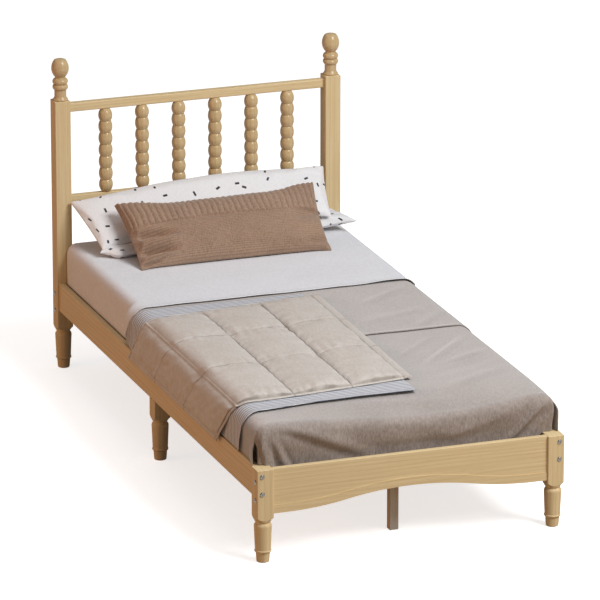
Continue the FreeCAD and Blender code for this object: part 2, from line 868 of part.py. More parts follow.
def make_blanket():
    hem = rail_top + hem_height
    tuck = rail_top - blanket_tuck
    reach = mattress_end + blanket_foot_reach
    t = blanket_thickness

    def skin(inset):
        half = blanket_half - inset
        top = blanket_top - inset
        turn = cloth_shoulder - inset
        low = tuck - inset
        across = filled_cover(half, top, low, turn, -reach, blanket_head_edge)
        return across.common(foot_fall(reach - inset, top, low, turn, half, blanket_head_edge + inset))

    cloth = skin(0.0).cut(skin(t))
    side = blanket_half + t
    behind = post_inner_x - joint_play
    trims = [box(-side, side, -post_inner_y + blanket_corner_slit, blanket_head_edge + t, tuck - t, hem)]
    for sign in (-1, 1):
        x0, x1 = sorted((sign * behind, sign * side))
        trims.append(box(x0, x1, -reach - t, 0.0, tuck - t, hem))
        x0, x1 = sorted((sign * (blanket_half - blanket_corner_slit - t), sign * (blanket_half - t)))
        trims.append(box(x0, x1, -reach - t, -reach + 2 * t, tuck, blanket_top - cloth_shoulder))
    cloth = cloth.cut(trims)
    flap = drape(cover_section(blanket_half + t, flap_top, hem, cloth_shoulder + t, t),
                 blanket_flap_edge, blanket_head_edge)
    span = 2 * (post_inner_x - blanket_fold_width)
    ridges = []
    for i in range(blanket_fold_count):
        x = -span / 2 + span * i / (blanket_fold_count - 1)
        lean = blanket_fold_lean * 2 * x / span
        ridges.append(fold_ridge(x, lean, -reach, tuck, blanket_top - cloth_shoulder))
    nodes["blanket"] = cloth.fuse([flap] + ridges)


def make_white_sheet():
    """Drawn over the head end of the mattress, with its foot edge laid over the blanket."""
    half = mattress_half + cloth_gap + sheet_thickness
    main = drape(cover_section(half, sheet_top, sheet_top - sheet_drop, sheet_shoulder, sheet_thickness),
                 sheet_side_edge, mattress_end - end_clearance)
    grown = blanket_thickness + cloth_gap + sheet_thickness
    turn = cloth_shoulder + grown
    hem = sheet_top - turn - sheet_lap_hem
    lap = drape(cover_section(blanket_half + grown, sheet_top, hem, turn, sheet_thickness),
                sheet_foot_edge, sheet_side_edge)
    nodes["white_sheet"] = main.fuse(lap)


def make_striped_sheet():
    grown = blanket_thickness + cloth_gap + stripe_thickness
    section = cover_section(blanket_half + grown, stripe_top, rail_top + hem_height,
                            cloth_shoulder + grown, stripe_thickness, stripe_right_edge)
    nodes["striped_sheet"] = drape(section, stripe_foot_edge, stripe_head_edge)


def throw_section(y, puff):
    """Section of the throw across the bed, from its left shoulder, with one arc between seam and seam."""
    bend = math.sqrt(0.5)
    thick = throw_hem_thickness
    outer = throw_shoulder + thick
    x = throw_half - throw_shoulder
    step = (throw_right_edge + x) / throw_columns
    steps = [((-x - outer * bend, throw_low + outer * bend), (-x, throw_under + thick))]
    for i in range(throw_columns):
        middle = -x + step * (i + 0.5)
        steps.append(((middle, throw_under + puff), (-x + step * (i + 1), throw_under + throw_seam)))
    steps += [
        (throw_right_edge, throw_under),
        (-x, throw_under),
        ((-x - throw_shoulder * bend, throw_low + throw_shoulder * bend), (-throw_half, throw_low)),
    ]
    return outline(lambda px, pz: V(px, y, pz), (-throw_half - thick, throw_low), steps)


def throw_side():
    """Hanging side of the throw, from its shoulder over the rail, the hem pulled towards the head."""
    thick = throw_hem_thickness
    rail_clear = rail_outer_x + cloth_gap
    hem = rail_top - throw_hem_drop
    rings = []
    for x, z in ((throw_half, throw_low), (rail_clear, rail_top), (rail_clear, hem)):
        pull = throw_hem_pull * (throw_low - z) / (throw_low - hem)
        foot = throw_foot_edge + pull
        head = throw_head_edge + pull
        corners = [V(-x, foot, z), V(-x, head, z), V(-x - thick, head, z), V(-x - thick, foot, z)]
        rings.append(Part.makePolygon(corners + corners[:1]))
    return Part.makeLoft(rings, True, True)


def make_quilted_throw():
    step = (throw_head_edge - throw_foot_edge) / throw_rows
    rows = []
    for i in range(throw_rows):
        y = throw_foot_edge + step * i
        puffs = (throw_edge_puff, throw_puff, throw_edge_puff)
        sections = [throw_section(y + step * k / 2, puff) for k, puff in enumerate(puffs)]
        rows.append(Part.makeLoft(sections, True, False))
    nodes["quilted_throw"] = throw_side().fuse(rows)


def crown_steps(start, stop, seam, rise):
    """Over or under a pillow from one end seam to the other: an arc, a level stretch and an arc."""
    way = 1 if stop > start else -1
    radius = (pillow_end_run * pillow_end_run + rise * rise) / (2 * rise)
    turn = math.asin(pillow_end_run / radius) / 2
    via_x = way * (pillow_end_run - radius * math.sin(turn))
    via_z = seam + rise - radius * (1 - math.cos(turn))
    run = way * pillow_end_run
    high = seam + rise
    return [
        ((start + via_x, via_z), (start + run, high)),
        (stop - run, high),
        ((stop - via_x, via_z), (stop, seam)),
    ]


def pillow(length, depth, above, below, taper):
    """A pillow on the seam plane z = 0, with crowned faces and ends drawn in between its corners."""
    seam = pillow_seam / 2
    sections = []
    for station in (-1.0, -pillow_station, 0.0, pillow_station, 1.0):
        round_off = 1 - station * station
        fill = max(math.sqrt(round_off), pillow_end_fill)
        shorter = (abs(taper) - taper * station) / 2
        half = length / 2 - pillow_ear_pull * round_off - shorter
        steps = crown_steps(-half, half, seam, above * fill) + [(half, -seam)]
        steps += crown_steps(half, -half, -seam, -below * fill)
        sections.append(outline(lambda x, z, y=depth / 2 * station: V(x, y, z), (-half, seam), steps))
    return Part.makeLoft(sections, True, False)


def leaning(shape, x, from_head, lean, roll, floor_z):
    """Lean a pillow back, let its left end sink and stand its lowest point just clear of a height."""
    shape.rotate(V(0, 0, 0), V(1, 0, 0), lean)
    shape.rotate(V(0, 0, 0), V(0, 1, 0), -roll)
    low = shape.optimalBoundingBox(False, False).ZMin
    shape.translate(V(x, mattress_end - from_head, floor_z + cloth_gap - low))
    return shape


def settle(shape, below):
    """Lower a pillow until it lies just clear of what is under it."""
    for turn in range(8):
        gap = shape.distToShape(below)[0] - cloth_gap
        if gap < cloth_gap:
            break
        shape.translate(V(0, 0, -gap))
    return shape


def make_pillows():
    flat = pillow(flat_pillow_length, flat_pillow_depth, flat_pillow_above, flat_pillow_below,
                  flat_pillow_taper)
    back = pillow(back_pillow_length, back_pillow_depth, back_pillow_above, back_pillow_below,
                  back_pillow_taper)
    brown = pillow(brown_pillow_length, brown_pillow_depth, brown_pillow_above, brown_pillow_below,
                   brown_pillow_taper)
    above_flat = sheet_top + flat_pillow_above + flat_pillow_below + pillow_seam
    flat = leaning(flat, flat_pillow_x, flat_pillow_from_head, 0.0, 0.0, sheet_top)
    back = leaning(back, back_pillow_x, back_pillow_from_head, back_pillow_lean, back_pillow_roll,
                   above_flat)
    brown = leaning(brown, brown_pillow_x, brown_pillow_from_head, brown_pillow_lean, 0.0, sheet_top)
    nodes["pillow_flat"] = flat
    nodes["pillow_back"] = settle(back, flat)
    nodes["pillow_brown"] = brown


make_posts()
make_finials()
make_headboard_rail("headboard_top_rail", top_rail_underside, top_rail_underside, 1)
make_headboard_rail("headboard_lower_rail", lower_rail_underside, lower_rail_top, -1)
make_spindles()
make_footboard()
make_head_rail()
make_side_rails()
make_bolts()
make_mid_legs()
make_slat_bed()
make_beam()
make_mattress()
make_blanket()
make_white_sheet()
make_striped_sheet()
make_quilted_throw()
make_pillows()

os.makedirs("parts", exist_ok=True)
for name, shape in nodes.items():
    shape.exportStep("parts/%s.step" % name)
print(len(nodes), "pieces written")
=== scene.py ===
import math

import bpy
from mathutils import Matrix, Vector, noise


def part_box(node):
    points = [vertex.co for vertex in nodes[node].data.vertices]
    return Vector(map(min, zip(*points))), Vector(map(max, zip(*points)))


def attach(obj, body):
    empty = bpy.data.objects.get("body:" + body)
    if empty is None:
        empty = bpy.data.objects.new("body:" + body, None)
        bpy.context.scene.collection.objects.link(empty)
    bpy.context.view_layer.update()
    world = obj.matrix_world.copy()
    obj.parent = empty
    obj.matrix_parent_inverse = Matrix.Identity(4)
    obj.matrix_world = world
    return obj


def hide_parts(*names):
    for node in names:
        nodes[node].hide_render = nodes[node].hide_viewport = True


# A single platform bed with a bobbin-turned headboard, dressed with its bedding.
# Sizes are millimetres until a point is written to a mesh, where MM makes them metres.

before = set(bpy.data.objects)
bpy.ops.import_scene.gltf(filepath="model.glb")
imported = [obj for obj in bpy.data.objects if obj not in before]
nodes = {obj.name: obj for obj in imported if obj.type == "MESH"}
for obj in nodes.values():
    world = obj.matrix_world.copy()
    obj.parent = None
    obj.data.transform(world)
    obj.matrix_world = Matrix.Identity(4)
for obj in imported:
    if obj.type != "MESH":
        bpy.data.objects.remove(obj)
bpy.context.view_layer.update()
MM = 0.001


def box_mm(node):
    low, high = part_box(node)
    return low / MM, high / MM


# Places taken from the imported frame
mattress_low, mattress_high = box_mm("mattress")
blanket_low = box_mm("blanket")[0]
sheet_low, sheet_high = box_mm("white_sheet")
stripe_low, stripe_high = box_mm("striped_sheet")
throw_low, throw_high = box_mm("quilted_throw")
rail_top = box_mm("side_rail_left")[1].z
post_inner = box_mm("foot_post_right")[0].x
post_top = box_mm("foot_post_right")[1].z

# How the bedding lies
mattress_top = mattress_high.z
cloth_flat = 432.0            # half the flat top, before cloth turns down the side
blanket_cell = 6.0
turn_cloth = 72.0             # cloth that the blanket's turn takes up, a whole number of cells
blanket_turn = turn_cloth / (math.pi / 2)
blanket_hang = 78.0           # from the turn down to the side hem
foot_cloth = 36.0             # cloth that the tighter turn over the foot end takes up
foot_turn = foot_cloth / (math.pi / 2)
foot_fall = 156.0             # from the flat top down to the tucked foot hem
blanket_thick = 3.0
blanket_top = mattress_top + 2.0
blanket_flap_edge = -272.0
blanket_head = 268.0
blanket_foot_flat = blanket_low.y + 4.2 + foot_turn
left_slit_top = 72.0          # cloth from the flat top down to where the left corner slit opens
right_slit_top = 42.0
slit_flare = 8.0              # how far the side edge of a slit stands out
slit_ahead = 24.0             # how far the right slit's side edge hangs ahead of the foot edge
foot_tuck = 11.0
post_gap = 1.6                # between the foot posts and the hem above them
flap_lift = 4.2
foot_sag = 30.0               # how far the tucked blanket pulls the foot edge of the bed down
corner_hold = 24.0            # how much less it sags at the right corner
sag_length = 190.0            # how far up the bed the sag begins
sheet_thick = 2.6
stripe_thick = 1.8
stripe_turn = 51.9
throw_thick = 3.6
throw_turn = 54.9


def smooth(value, start, stop):
    """From 0 before start to 1 after stop, with soft ends."""
    share = min(max((value - start) / (stop - start), 0.0), 1.0)
    return share * share * (3 - 2 * share)


def grain_noise(x, y, size, seed=0.0):
    """Smooth noise between about -1 and 1 whose lumps are size across."""
    return noise.noise(Vector((x / size, y / size, seed)))


def deselect():
    bpy.ops.object.select_all(action="DESELECT")


def mode(name):
    bpy.ops.object.mode_set(mode=name)


def only(piece):
    """Select one piece alone and make it the active one."""
    deselect()
    piece.select_set(True)
    bpy.context.view_layer.objects.active = piece


def apply_all(piece):
    only(piece)
    for modifier in list(piece.modifiers):
        bpy.ops.object.modifier_apply(modifier=modifier.name)


def cloth_grid(name, across, along, cell, place, marks=None):
    """A grid of cloth, each point put where place(u, v) says, with u and v from 0 to 1.
    Marks are named functions of u and v, kept as attributes of the points."""
    deselect()
    bpy.ops.mesh.primitive_grid_add(
        x_subdivisions=round(across / cell), y_subdivisions=round(along / cell), size=2.0)
    piece = bpy.context.object
    piece.name = name
    piece.data.name = name
    spots = [((point.co.x + 1) / 2, (point.co.y + 1) / 2) for point in piece.data.vertices]
    for mark, value in (marks or {}).items():
        kept = piece.data.attributes.new(mark, "FLOAT", "POINT")
        for point, spot in zip(kept.data, spots):
            point.value = value(*spot)
    for point, spot in zip(piece.data.vertices, spots):
        point.co = Vector(place(*spot)) * MM
    return piece


def soften(piece, levels):
    """Round a cloth's cells off by subdivision, the same in the view as in the render."""
    soft = piece.modifiers.new("soft cloth", "SUBSURF")
    soft.levels = levels
    soft.render_levels = levels


def give_thickness(piece, thickness, levels):
    """Turn a cloth surface into a closed cloth with soft edges."""
    wall = piece.modifiers.new("cloth thickness", "SOLIDIFY")
    wall.thickness = thickness * MM
    wall.offset = 0.0
    if levels:
        soften(piece, levels)
    apply_all(piece)
    bpy.ops.object.shade_smooth_by_angle(angle=math.radians(50))


def joined(pieces, name, weld):
    """Join pieces into the first one and merge the points that meet."""
    deselect()
    for piece in pieces:
        piece.select_set(True)
    bpy.context.view_layer.objects.active = pieces[0]
    bpy.ops.object.join()
    whole = bpy.context.object
    whole.name = name
    whole.data.name = name
    mode("EDIT")
    bpy.ops.mesh.select_all(action="SELECT")
    bpy.ops.mesh.remove_doubles(threshold=weld * MM)
    mode("OBJECT")
    return whole


def over_side(s, flat, turn):
    """Cloth s from the middle line: its x, how far it has dropped and how far it has turned down."""
    side = math.copysign(1.0, s)
    past = abs(s) - flat
    if past <= 0:
        return s, 0.0, 0.0
    bend = past / turn
    if bend <= math.pi / 2:
        return side * (flat + turn * math.sin(bend)), turn * (1 - math.cos(bend)), side * bend
    return side * (flat + turn), turn + past - turn * math.pi / 2, side * math.pi / 2


def lie(x, y):
    """Slow rise and fall that every layer on the mattress follows."""
    return 1.1 + 1.0 * grain_noise(x, y, 230.0, 3.1) + 0.6 * grain_noise(x, y, 95.0, 7.7)


def slump(x):
    """How far the foot edge of the bed is pulled down by the tucked blanket: least at the left corner."""
    return foot_sag * smooth(x, -480.0, 60.0) - corner_hold * smooth(x, 150.0, 450.0)


def foot_slope(y):
    """Share of the slump, from 0 up the bed to 1 at the foot edge."""
    return (1 - min(max((y - mattress_low.y) / sag_length, 0.0), 1.0)) ** 2


# Mattress
mattress_corner = 45.0
mattress_round = 25.0
mattress_sag = 32.0
tape_half = 3.0
sag_cut = 12.0                # spacing of the mesh lines that let its foot end sag


def bevel_edges(piece, wanted, offset, segments):
    """Round the edges whose rise, the height between their two ends, is wanted."""
    mode("EDIT")
    bpy.ops.mesh.select_all(action="DESELECT")
    mode("OBJECT")
    for edge in piece.data.edges:
        a, b = (piece.data.vertices[i].co for i in edge.vertices)
        edge.select = wanted(abs(a.z - b.z))
    mode("EDIT")
    bpy.ops.mesh.bevel(offset=offset * MM, segments=segments, affect="EDGES")
    mode("OBJECT")


def make_mattress():
    """A foam block with rounded corners, taped edges round its top and underside and a sagging foot end."""
    size = (mattress_high - mattress_low) * MM
    middle = (mattress_high + mattress_low) / 2 * MM
    deselect()
    bpy.ops.mesh.primitive_cube_add(size=1.0, location=(0, 0, 0))
    block = bpy.context.object
    block.data.transform(Matrix.Translation(middle) @ Matrix.Diagonal((size.x, size.y, size.z, 1.0)))
    bpy.context.tool_settings.mesh_select_mode = (False, True, False)
    bevel_edges(block, lambda rise: rise > 10 * MM, mattress_corner, 8)
    bevel_edges(block, lambda rise: rise < 1 * MM, mattress_round, 6)
    bpy.context.tool_settings.mesh_select_mode = (True, False, False)
    inward = mattress_round * (1 - math.sqrt(0.5))
    tapes = [edge_tape(inward, z) for z in (mattress_low.z + inward, mattress_high.z - inward)]
    whole = joined([block] + tapes, "mattress_soft", 0.01)
    only(whole)
    mode("EDIT")
    for step in range(1, 1 + int(sag_length / sag_cut)):
        bpy.ops.mesh.select_all(action="SELECT")
        bpy.ops.mesh.bisect(plane_co=(0, (mattress_low.y + sag_cut * step) * MM, 0), plane_no=(0, 1, 0))
    mode("OBJECT")
    for point in whole.data.vertices:
        upper = smooth(point.co.z / MM, mattress_low.z + 40.0, mattress_high.z - 20.0)
        point.co.z -= mattress_sag * upper * foot_slope(point.co.y / MM) * MM
    bpy.ops.object.shade_smooth_by_angle(angle=math.radians(40))
    return whole


def edge_tape(inward, z):
    """A round tape along the rounded edge of the mattress at one height."""
    deselect()
    bpy.ops.mesh.primitive_circle_add(vertices=44, radius=1.0)
    ring = bpy.context.object
    radius = mattress_corner - inward
    for i, point in enumerate(ring.data.vertices):
        quarter, step = divmod(i, 11)
        turn = math.radians(90 * quarter + 9 * step)
        side_x = (1, -1, -1, 1)[quarter]
        side_y = (1, 1, -1, -1)[quarter]
        x = side_x * (mattress_high.x - mattress_corner) + radius * math.cos(turn)
        y = side_y * (mattress_high.y - mattress_corner) + radius * math.sin(turn)
        point.co = Vector((x, y, z)) * MM
    bpy.ops.object.convert(target="CURVE")
    ring.data.bevel_depth = tape_half * MM
    ring.data.bevel_resolution = 3
    bpy.ops.object.convert(target="MESH")
    return bpy.context.object


# Taupe blanket
def ridge(x, y, start, stop, wide, high):
    """Height of a soft crease that runs from start to stop and dies out at both ends."""
    ax, ay = start
    bx, by = stop
    run = math.hypot(bx - ax, by - ay)
    along = ((x - ax) * (bx - ax) + (y - ay) * (by - ay)) / run
    off = ((x - ax) * (by - ay) - (y - ay) * (bx - ax)) / run
    ends = smooth(along, -0.15 * run, 0.3 * run) * (1 - smooth(along, 0.6 * run, 1.15 * run))
    return high * ends * math.exp(-(off / wide) ** 2)


# Creases on the top of the blanket: start, stop, half width, height
top_creases = (
    ((210, -575), (425, -358), 16, 4.2),
    ((185, -585), (400, -365), 15, -3.2),
    ((150, -500), (330, -330), 13, 2.2),
    ((271, -592), (430, -517), 18, 3.0),
    ((160, -700), (420, -600), 26, -1.8),
    ((180, -820), (430, -690), 24, 2.6),
    ((-120, -860), (200, -900), 22, 1.8),
    ((230, 30), (400, 150), 18, 2.8),
    ((160, -150), (420, -60), 24, 2.2),
    ((300, -250), (440, -120), 18, 2.6),
)
# Folds on its hanging end, across the bed and in height: start, stop, half width, height
foot_creases = (
    ((-458, 400), (-424, 230), 12, 9.0),
    ((-440, 380), (-402, 240), 9, -4.5),
    ((-430, 376), (-360, 235), 9, 7.0),
    ((-405, 360), (-340, 240), 10, -4.0),
    ((-405, 420), (-110, 292), 19, 8.0),
    ((-425, 402), (-150, 280), 14, -4.0),
    ((-215, 420), (40, 384), 16, 4.5),
    ((20, 384), (210, 290), 26, 3.0),
    ((446, 408), (300, 255), 9, 13.0),
    ((462, 388), (338, 250), 12, -8.0),
    ((350, 382), (120, 318), 16, 5.0),
    ((474, 384), (452, 240), 9, 4.0),
)


def settle(s, y, past):
    """How far the blanket stands over its level place, from the lie of the bed, its creases and the slump
    of the foot edge, all of which die out as the cloth goes past the edge that it turns over."""
    x = min(max(s, -cloth_flat), cloth_flat)
    rise = lie(x, y)
    clear = smooth(x, 116.0, 150.0) if y > -850 else 1.0
    if clear > 0:
        rise += clear * sum(ridge(x, y, *crease) for crease in top_creases)
    low = slump(x) * foot_slope(y)
    return (1 - smooth(past, 0.0, 50.0)) * rise - low * (1 - smooth(past, 60.0, 140.0))


def slit_top(s):
    """Cloth from the flat top down to where the corner slit on this side opens."""
    return left_slit_top if s < 0 else right_slit_top


def blanket_side(s, y, lift):
    """A point of the blanket on the top or down a side, the turned-back layer lift above the other."""
    x, drop, tilt = over_side(s, cloth_flat, blanket_turn + lift)
    past = max(abs(s) - cloth_flat, 0.0)
    up_bed = y - blanket_foot_flat
    wave = -1.4 * (1 + grain_noise(y, 0.0, 60.0, 1.3))
    wave *= smooth(up_bed, 0.0, 50.0) * smooth(past, 60.0, 120.0)
    at_corner = smooth(past, slit_top(s), slit_top(s) + 40.0) * (1 - smooth(up_bed, 0.0, 60.0))
    ahead = slit_ahead * at_corner if s > 0 else 0.0
    out = wave + slit_flare * at_corner
    return (x + math.sin(tilt) * out, y - ahead, blanket_top + lift - drop + settle(s, y, past))


def turned_down(cloth, taken, turn):
    """How far out and how far down cloth has gone past the edge that it turns over."""
    bend = min(cloth / turn, math.pi / 2)
    return turn * math.sin(bend), turn * (1 - math.cos(bend)) + max(cloth - taken, 0.0)


def blanket_foot(s, fall):
    """A point of the blanket's hanging end, which also turns round the mattress corners."""
    side = math.copysign(1.0, s)
    past = max(abs(s) - cloth_flat, 0.0)
    swing = min(past / blanket_turn, math.pi / 2)
    ahead, down_ahead = turned_down(fall, foot_cloth, foot_turn)
    aside, down_aside = turned_down(fall, turn_cloth, blanket_turn)
    to_side = math.sin(swing) ** 2
    z = blanket_top - down_ahead - (down_aside - down_ahead) * to_side + settle(s, blanket_foot_flat, fall)
    middle = 1 - smooth(past, 20.0, 66.0)
    fold = sum(ridge(s, z, *crease) for crease in foot_creases) + 1.6 * grain_noise(s, z * 0.35, 90.0, 9.4)
    moved = middle * (fold * smooth(fall, 10.0, 44.0) - foot_tuck * smooth(fall, 50.0, 150.0))
    if past <= 0:
        return (s, blanket_foot_flat - ahead - moved, z)
    moved -= 9.0 * smooth(fall, slit_top(s), slit_top(s) + 35.0) * smooth(past, 36.0, turn_cloth)
    if past <= turn_cloth + 0.01:
        across = (aside + moved) * math.sin(swing) ** 0.5
        along = (ahead + moved) * max(math.cos(swing), 0.0) ** 0.5
        return (side * (cloth_flat + across), blanket_foot_flat - along, z)
    return (side * (cloth_flat + aside + moved - 5.0), blanket_foot_flat + past - turn_cloth, z)


def make_blanket():
    """One cloth over the mattress, its head end turned back, its foot end hanging inside the footboard."""
    reach = cloth_flat + turn_cloth + blanket_hang
    wrap = cloth_flat + turn_cloth + 3 * blanket_cell
    length = blanket_head - blanket_foot_flat
    flap_length = blanket_head - blanket_flap_edge
    # The lower layer has long cells where the turned-back layer hides it
    shown = length - flap_length + 30.0
    shown_rows = round(shown / blanket_cell)
    rows = shown_rows + 13

    def body(u, v):
        row = v * rows
        y = row * shown / shown_rows
        if row > shown_rows:
            y = shown + (row - shown_rows) * (length - shown) / (rows - shown_rows)
        return blanket_side((2 * u - 1) * reach, blanket_foot_flat + y, 0.0)

    def end(u, v):
        s = (2 * u - 1) * wrap
        # Beside the posts it stops just above their tops
        swing = min(max(abs(s) - cloth_flat, 0.0) / blanket_turn, math.pi / 2)
        saved = foot_cloth - foot_turn
        saved += (turn_cloth - blanket_turn - saved) * math.sin(swing) ** 2
        over_post = blanket_top - post_top - post_gap + saved
        by_post = smooth(abs(s), post_inner - 14.0, post_inner - 2.0)
        return blanket_foot(s, min((1 - v) * foot_fall, foot_fall + (over_post - foot_fall) * by_post))

    def flap(u, v):
        y = blanket_flap_edge + v * flap_length
        x, along, z = blanket_side((2 * u - 1) * reach, y, flap_lift)
        at_edge = 1 - smooth(y, blanket_flap_edge, blanket_flap_edge + 26.0)
        lift = 2.6 * at_edge * (1 - smooth(abs(x), 400.0, 470.0))
        return (x, along + 3.0 * grain_noise(x, 0.0, 130.0, 4.4), z + lift)

    top = cloth_grid("blanket_top", 2 * reach, rows * blanket_cell, blanket_cell, body)
    # The hanging end is marked for the material, which paints shade there by turning its sheen down
    foot = cloth_grid("blanket_foot", 2 * wrap, foot_fall, blanket_cell, end,
                      marks={"hang_shade": lambda u, v: smooth((1 - v) * foot_fall, 6.0, 60.0)})
    back = cloth_grid("blanket_flap", 2 * reach, flap_length, blanket_cell, flap)
    whole = joined([top, foot, back], "blanket_soft", 0.05)
    give_thickness(whole, blanket_thick, 0)
    return whole


# White sheet: half its width and its turn where it lies close, and what it has more where it hangs loose
sheet_close_half = 459.3
sheet_close_turn = 30.0
sheet_loose_half = 24.2
sheet_loose_turn = 21.0
sheet_drop = 139.0            # from its top down to its side hem
hem_climb_start = 300.0       # where the side hem begins to climb towards the foot edge
hem_climb = 1.38
rail_gap = 2.5                # between the right hem and the rail below it
sheet_cell = 10.0
sheet_width = 1172.0          # flat, from hem to hem


def sheet_hem(y):
    """Height of the white sheet's side hem, which climbs towards its foot edge."""
    return sheet_high.z - sheet_drop + max(0.0, hem_climb_start - y) * hem_climb


def white_point(s_share, y):
    """A point of the white sheet, which lies close on the left and hangs loose on the right."""
    loose = 1.0 if s_share > 0 else 1 - smooth(y, 274.0, 298.0)
    turn = sheet_close_turn + loose * sheet_loose_turn
    flat = sheet_close_half + loose * sheet_loose_half - turn
    top = sheet_high.z - sheet_thick / 2
    hem = sheet_hem(y) if s_share < 0 else max(sheet_hem(y), rail_top + rail_gap)
    lowest = min(hem, top - turn * 0.35)
    if top - lowest < turn:
        reach = flat + turn * math.acos(1 - (top - lowest) / turn)
    else:
        reach = flat + turn * math.pi / 2 + top - turn - lowest
    x, drop, tilt = over_side(s_share * reach, flat, turn)
    up_bed = y - sheet_low.y
    lift = 4.6 + 2.6 * grain_noise(x, 3.0, 110.0, 2.2) + 4.0 * smooth(x, 250.0, 420.0)
    lift *= 1 - smooth(up_bed, 0.0, 36.0)
    fold = smooth(drop, 15.0, 80.0) * smooth(y, 300.0, 340.0) * (1 - smooth(y, 700.0, 900.0))
    lean = y + 0.35 * drop
    ripple = math.sin(lean / 17.0 + 1.6 * grain_noise(lean, 0.0, 90.0, 6.0))
    ripple *= grain_noise(lean, 9.0, 70.0, 8.8)
    wave = fold * (2.6 * ripple + 1.5 * grain_noise(lean, drop, 40.0, 5.5))
    edge = 4.0 * grain_noise(x, 1.0, 210.0, 1.9) * (1 - smooth(up_bed, 0.0, 60.0))
    return (x + math.sin(tilt) * max(wave, -0.4), y + edge,
            top - drop + (lie(x, y) + max(lift, 0.6)) * math.cos(tilt))


def make_white_sheet():
    """A percale sheet over the head end, its foot edge laid over the blanket."""
    start = sheet_low.y
    stop = mattress_high.y + 1.0

    def place(u, v):
        return white_point(2 * u - 1, start + v * (stop - start))

    sheet = cloth_grid("white_sheet_soft", sheet_width, stop - start, sheet_cell, place)
    give_thickness(sheet, sheet_thick, 1)
    return sheet


# Striped sheet
stripe_pull = 0.28            # how far the hanging side leans towards the head, per drop
stripe_bow = 26.0             # how far its foot edge bows down the bed at the left shoulder
stripe_gap = 3.0              # between its hem and the rail
stripe_cell = 8.0


def make_striped_sheet():
    """A thin cotton sheet laid over the blanket, hanging down the left side to the rail."""
    top = stripe_high.z - stripe_thick / 2
    drop = top - stripe_turn - rail_top - stripe_gap
    reach = cloth_flat + stripe_turn * math.pi / 2 + drop
    right = stripe_high.x
    start = stripe_low.y
    stop = stripe_high.y

    def place(u, v):
        s = -reach + u * (reach + right)
        y = start + v * (stop - start)
        x, down, tilt = over_side(s, cloth_flat, stripe_turn)
        at_foot = 1 - smooth(y, start, start + 30.0)
        lift = 3.6 * at_foot * (1 + 0.6 * grain_noise(x, 0.0, 120.0, 3.3))
        flare = 4.0 * at_foot * smooth(down, 20.0, 70.0)
        edge = 3.0 * grain_noise(x, 0.0, 190.0, 8.1) * (1 - smooth(y, start, start + 80.0))
        bow = stripe_bow * (1 - smooth(x, -470.0, -220.0)) * (1 - smooth(y, start, start + 500.0))
        return (x + math.sin(tilt) * flare, y + edge - bow + stripe_pull * down,
                top - down + (lie(x, y) + lift) * math.cos(tilt))

    sheet = cloth_grid("striped_sheet_soft", reach + right, stop - start, stripe_cell, place)
    give_thickness(sheet, stripe_thick, 1)
    return sheet


# Quilted throw: its own width and length, and the places of its seams in them
throw_hang = 98.0             # from the turn down to its left hem
throw_reach = cloth_flat + throw_turn * math.pi / 2 + throw_hang
throw_right = throw_high.x
throw_length = 868.0
throw_cell = 3.9
top_puff = 20.0               # height of the filling on the bed
side_puff = 10.0              # and where it hangs
pipe_high = 3.6               # corded seam along the left shoulder
foot_bow = 42.0               # how far its foot edge bows down the bed at that shoulder
foot_bow_length = 560.0
throw_columns = (-throw_reach + 16.0, -cloth_flat - 42.0, -287.0, -95.0, 81.0)
throw_rows = (12.0, 312.0, 596.0, throw_length - 12.0)
seam_gather = 0.7             # how much closer the mesh lines stand at a seam


def seam_spread(share, lines):
    """The place along the cloth for an even share of its mesh lines, closer together at the seams."""
    place = lines[0] + share * (lines[-1] - lines[0])
    for low, high in zip(lines, lines[1:]):
        if place <= high + 1e-6:
            part = (place - low) / (high - low)
            return low + (high - low) * (part - seam_gather * math.sin(2 * math.pi * part) / (2 * math.pi))
    return lines[-1]


def between(value, lines):
    """How far value lies between its two lines, 0 to 1, and the distance to the nearer of them."""
    for low, high in zip(lines, lines[1:]):
        if low <= value <= high:
            return (value - low) / (high - low), min(value - low, high - value)
    edge = lines[0] if value < lines[0] else lines[-1]
    return 0.0, -abs(value - edge)


def binding(off, wide, high):
    """Round back of a bound hem, off from its seam."""
    middle = wide / 2
    return high * math.sqrt(max(0.0, 1 - ((off - middle) / middle) ** 2))


def pucker(off, reach, clear):
    """Strength of the creases off from a seam: none on it, most just beside it, gone past its reach."""
    return math.exp(-off / reach) * (1 - math.exp(-off / clear))


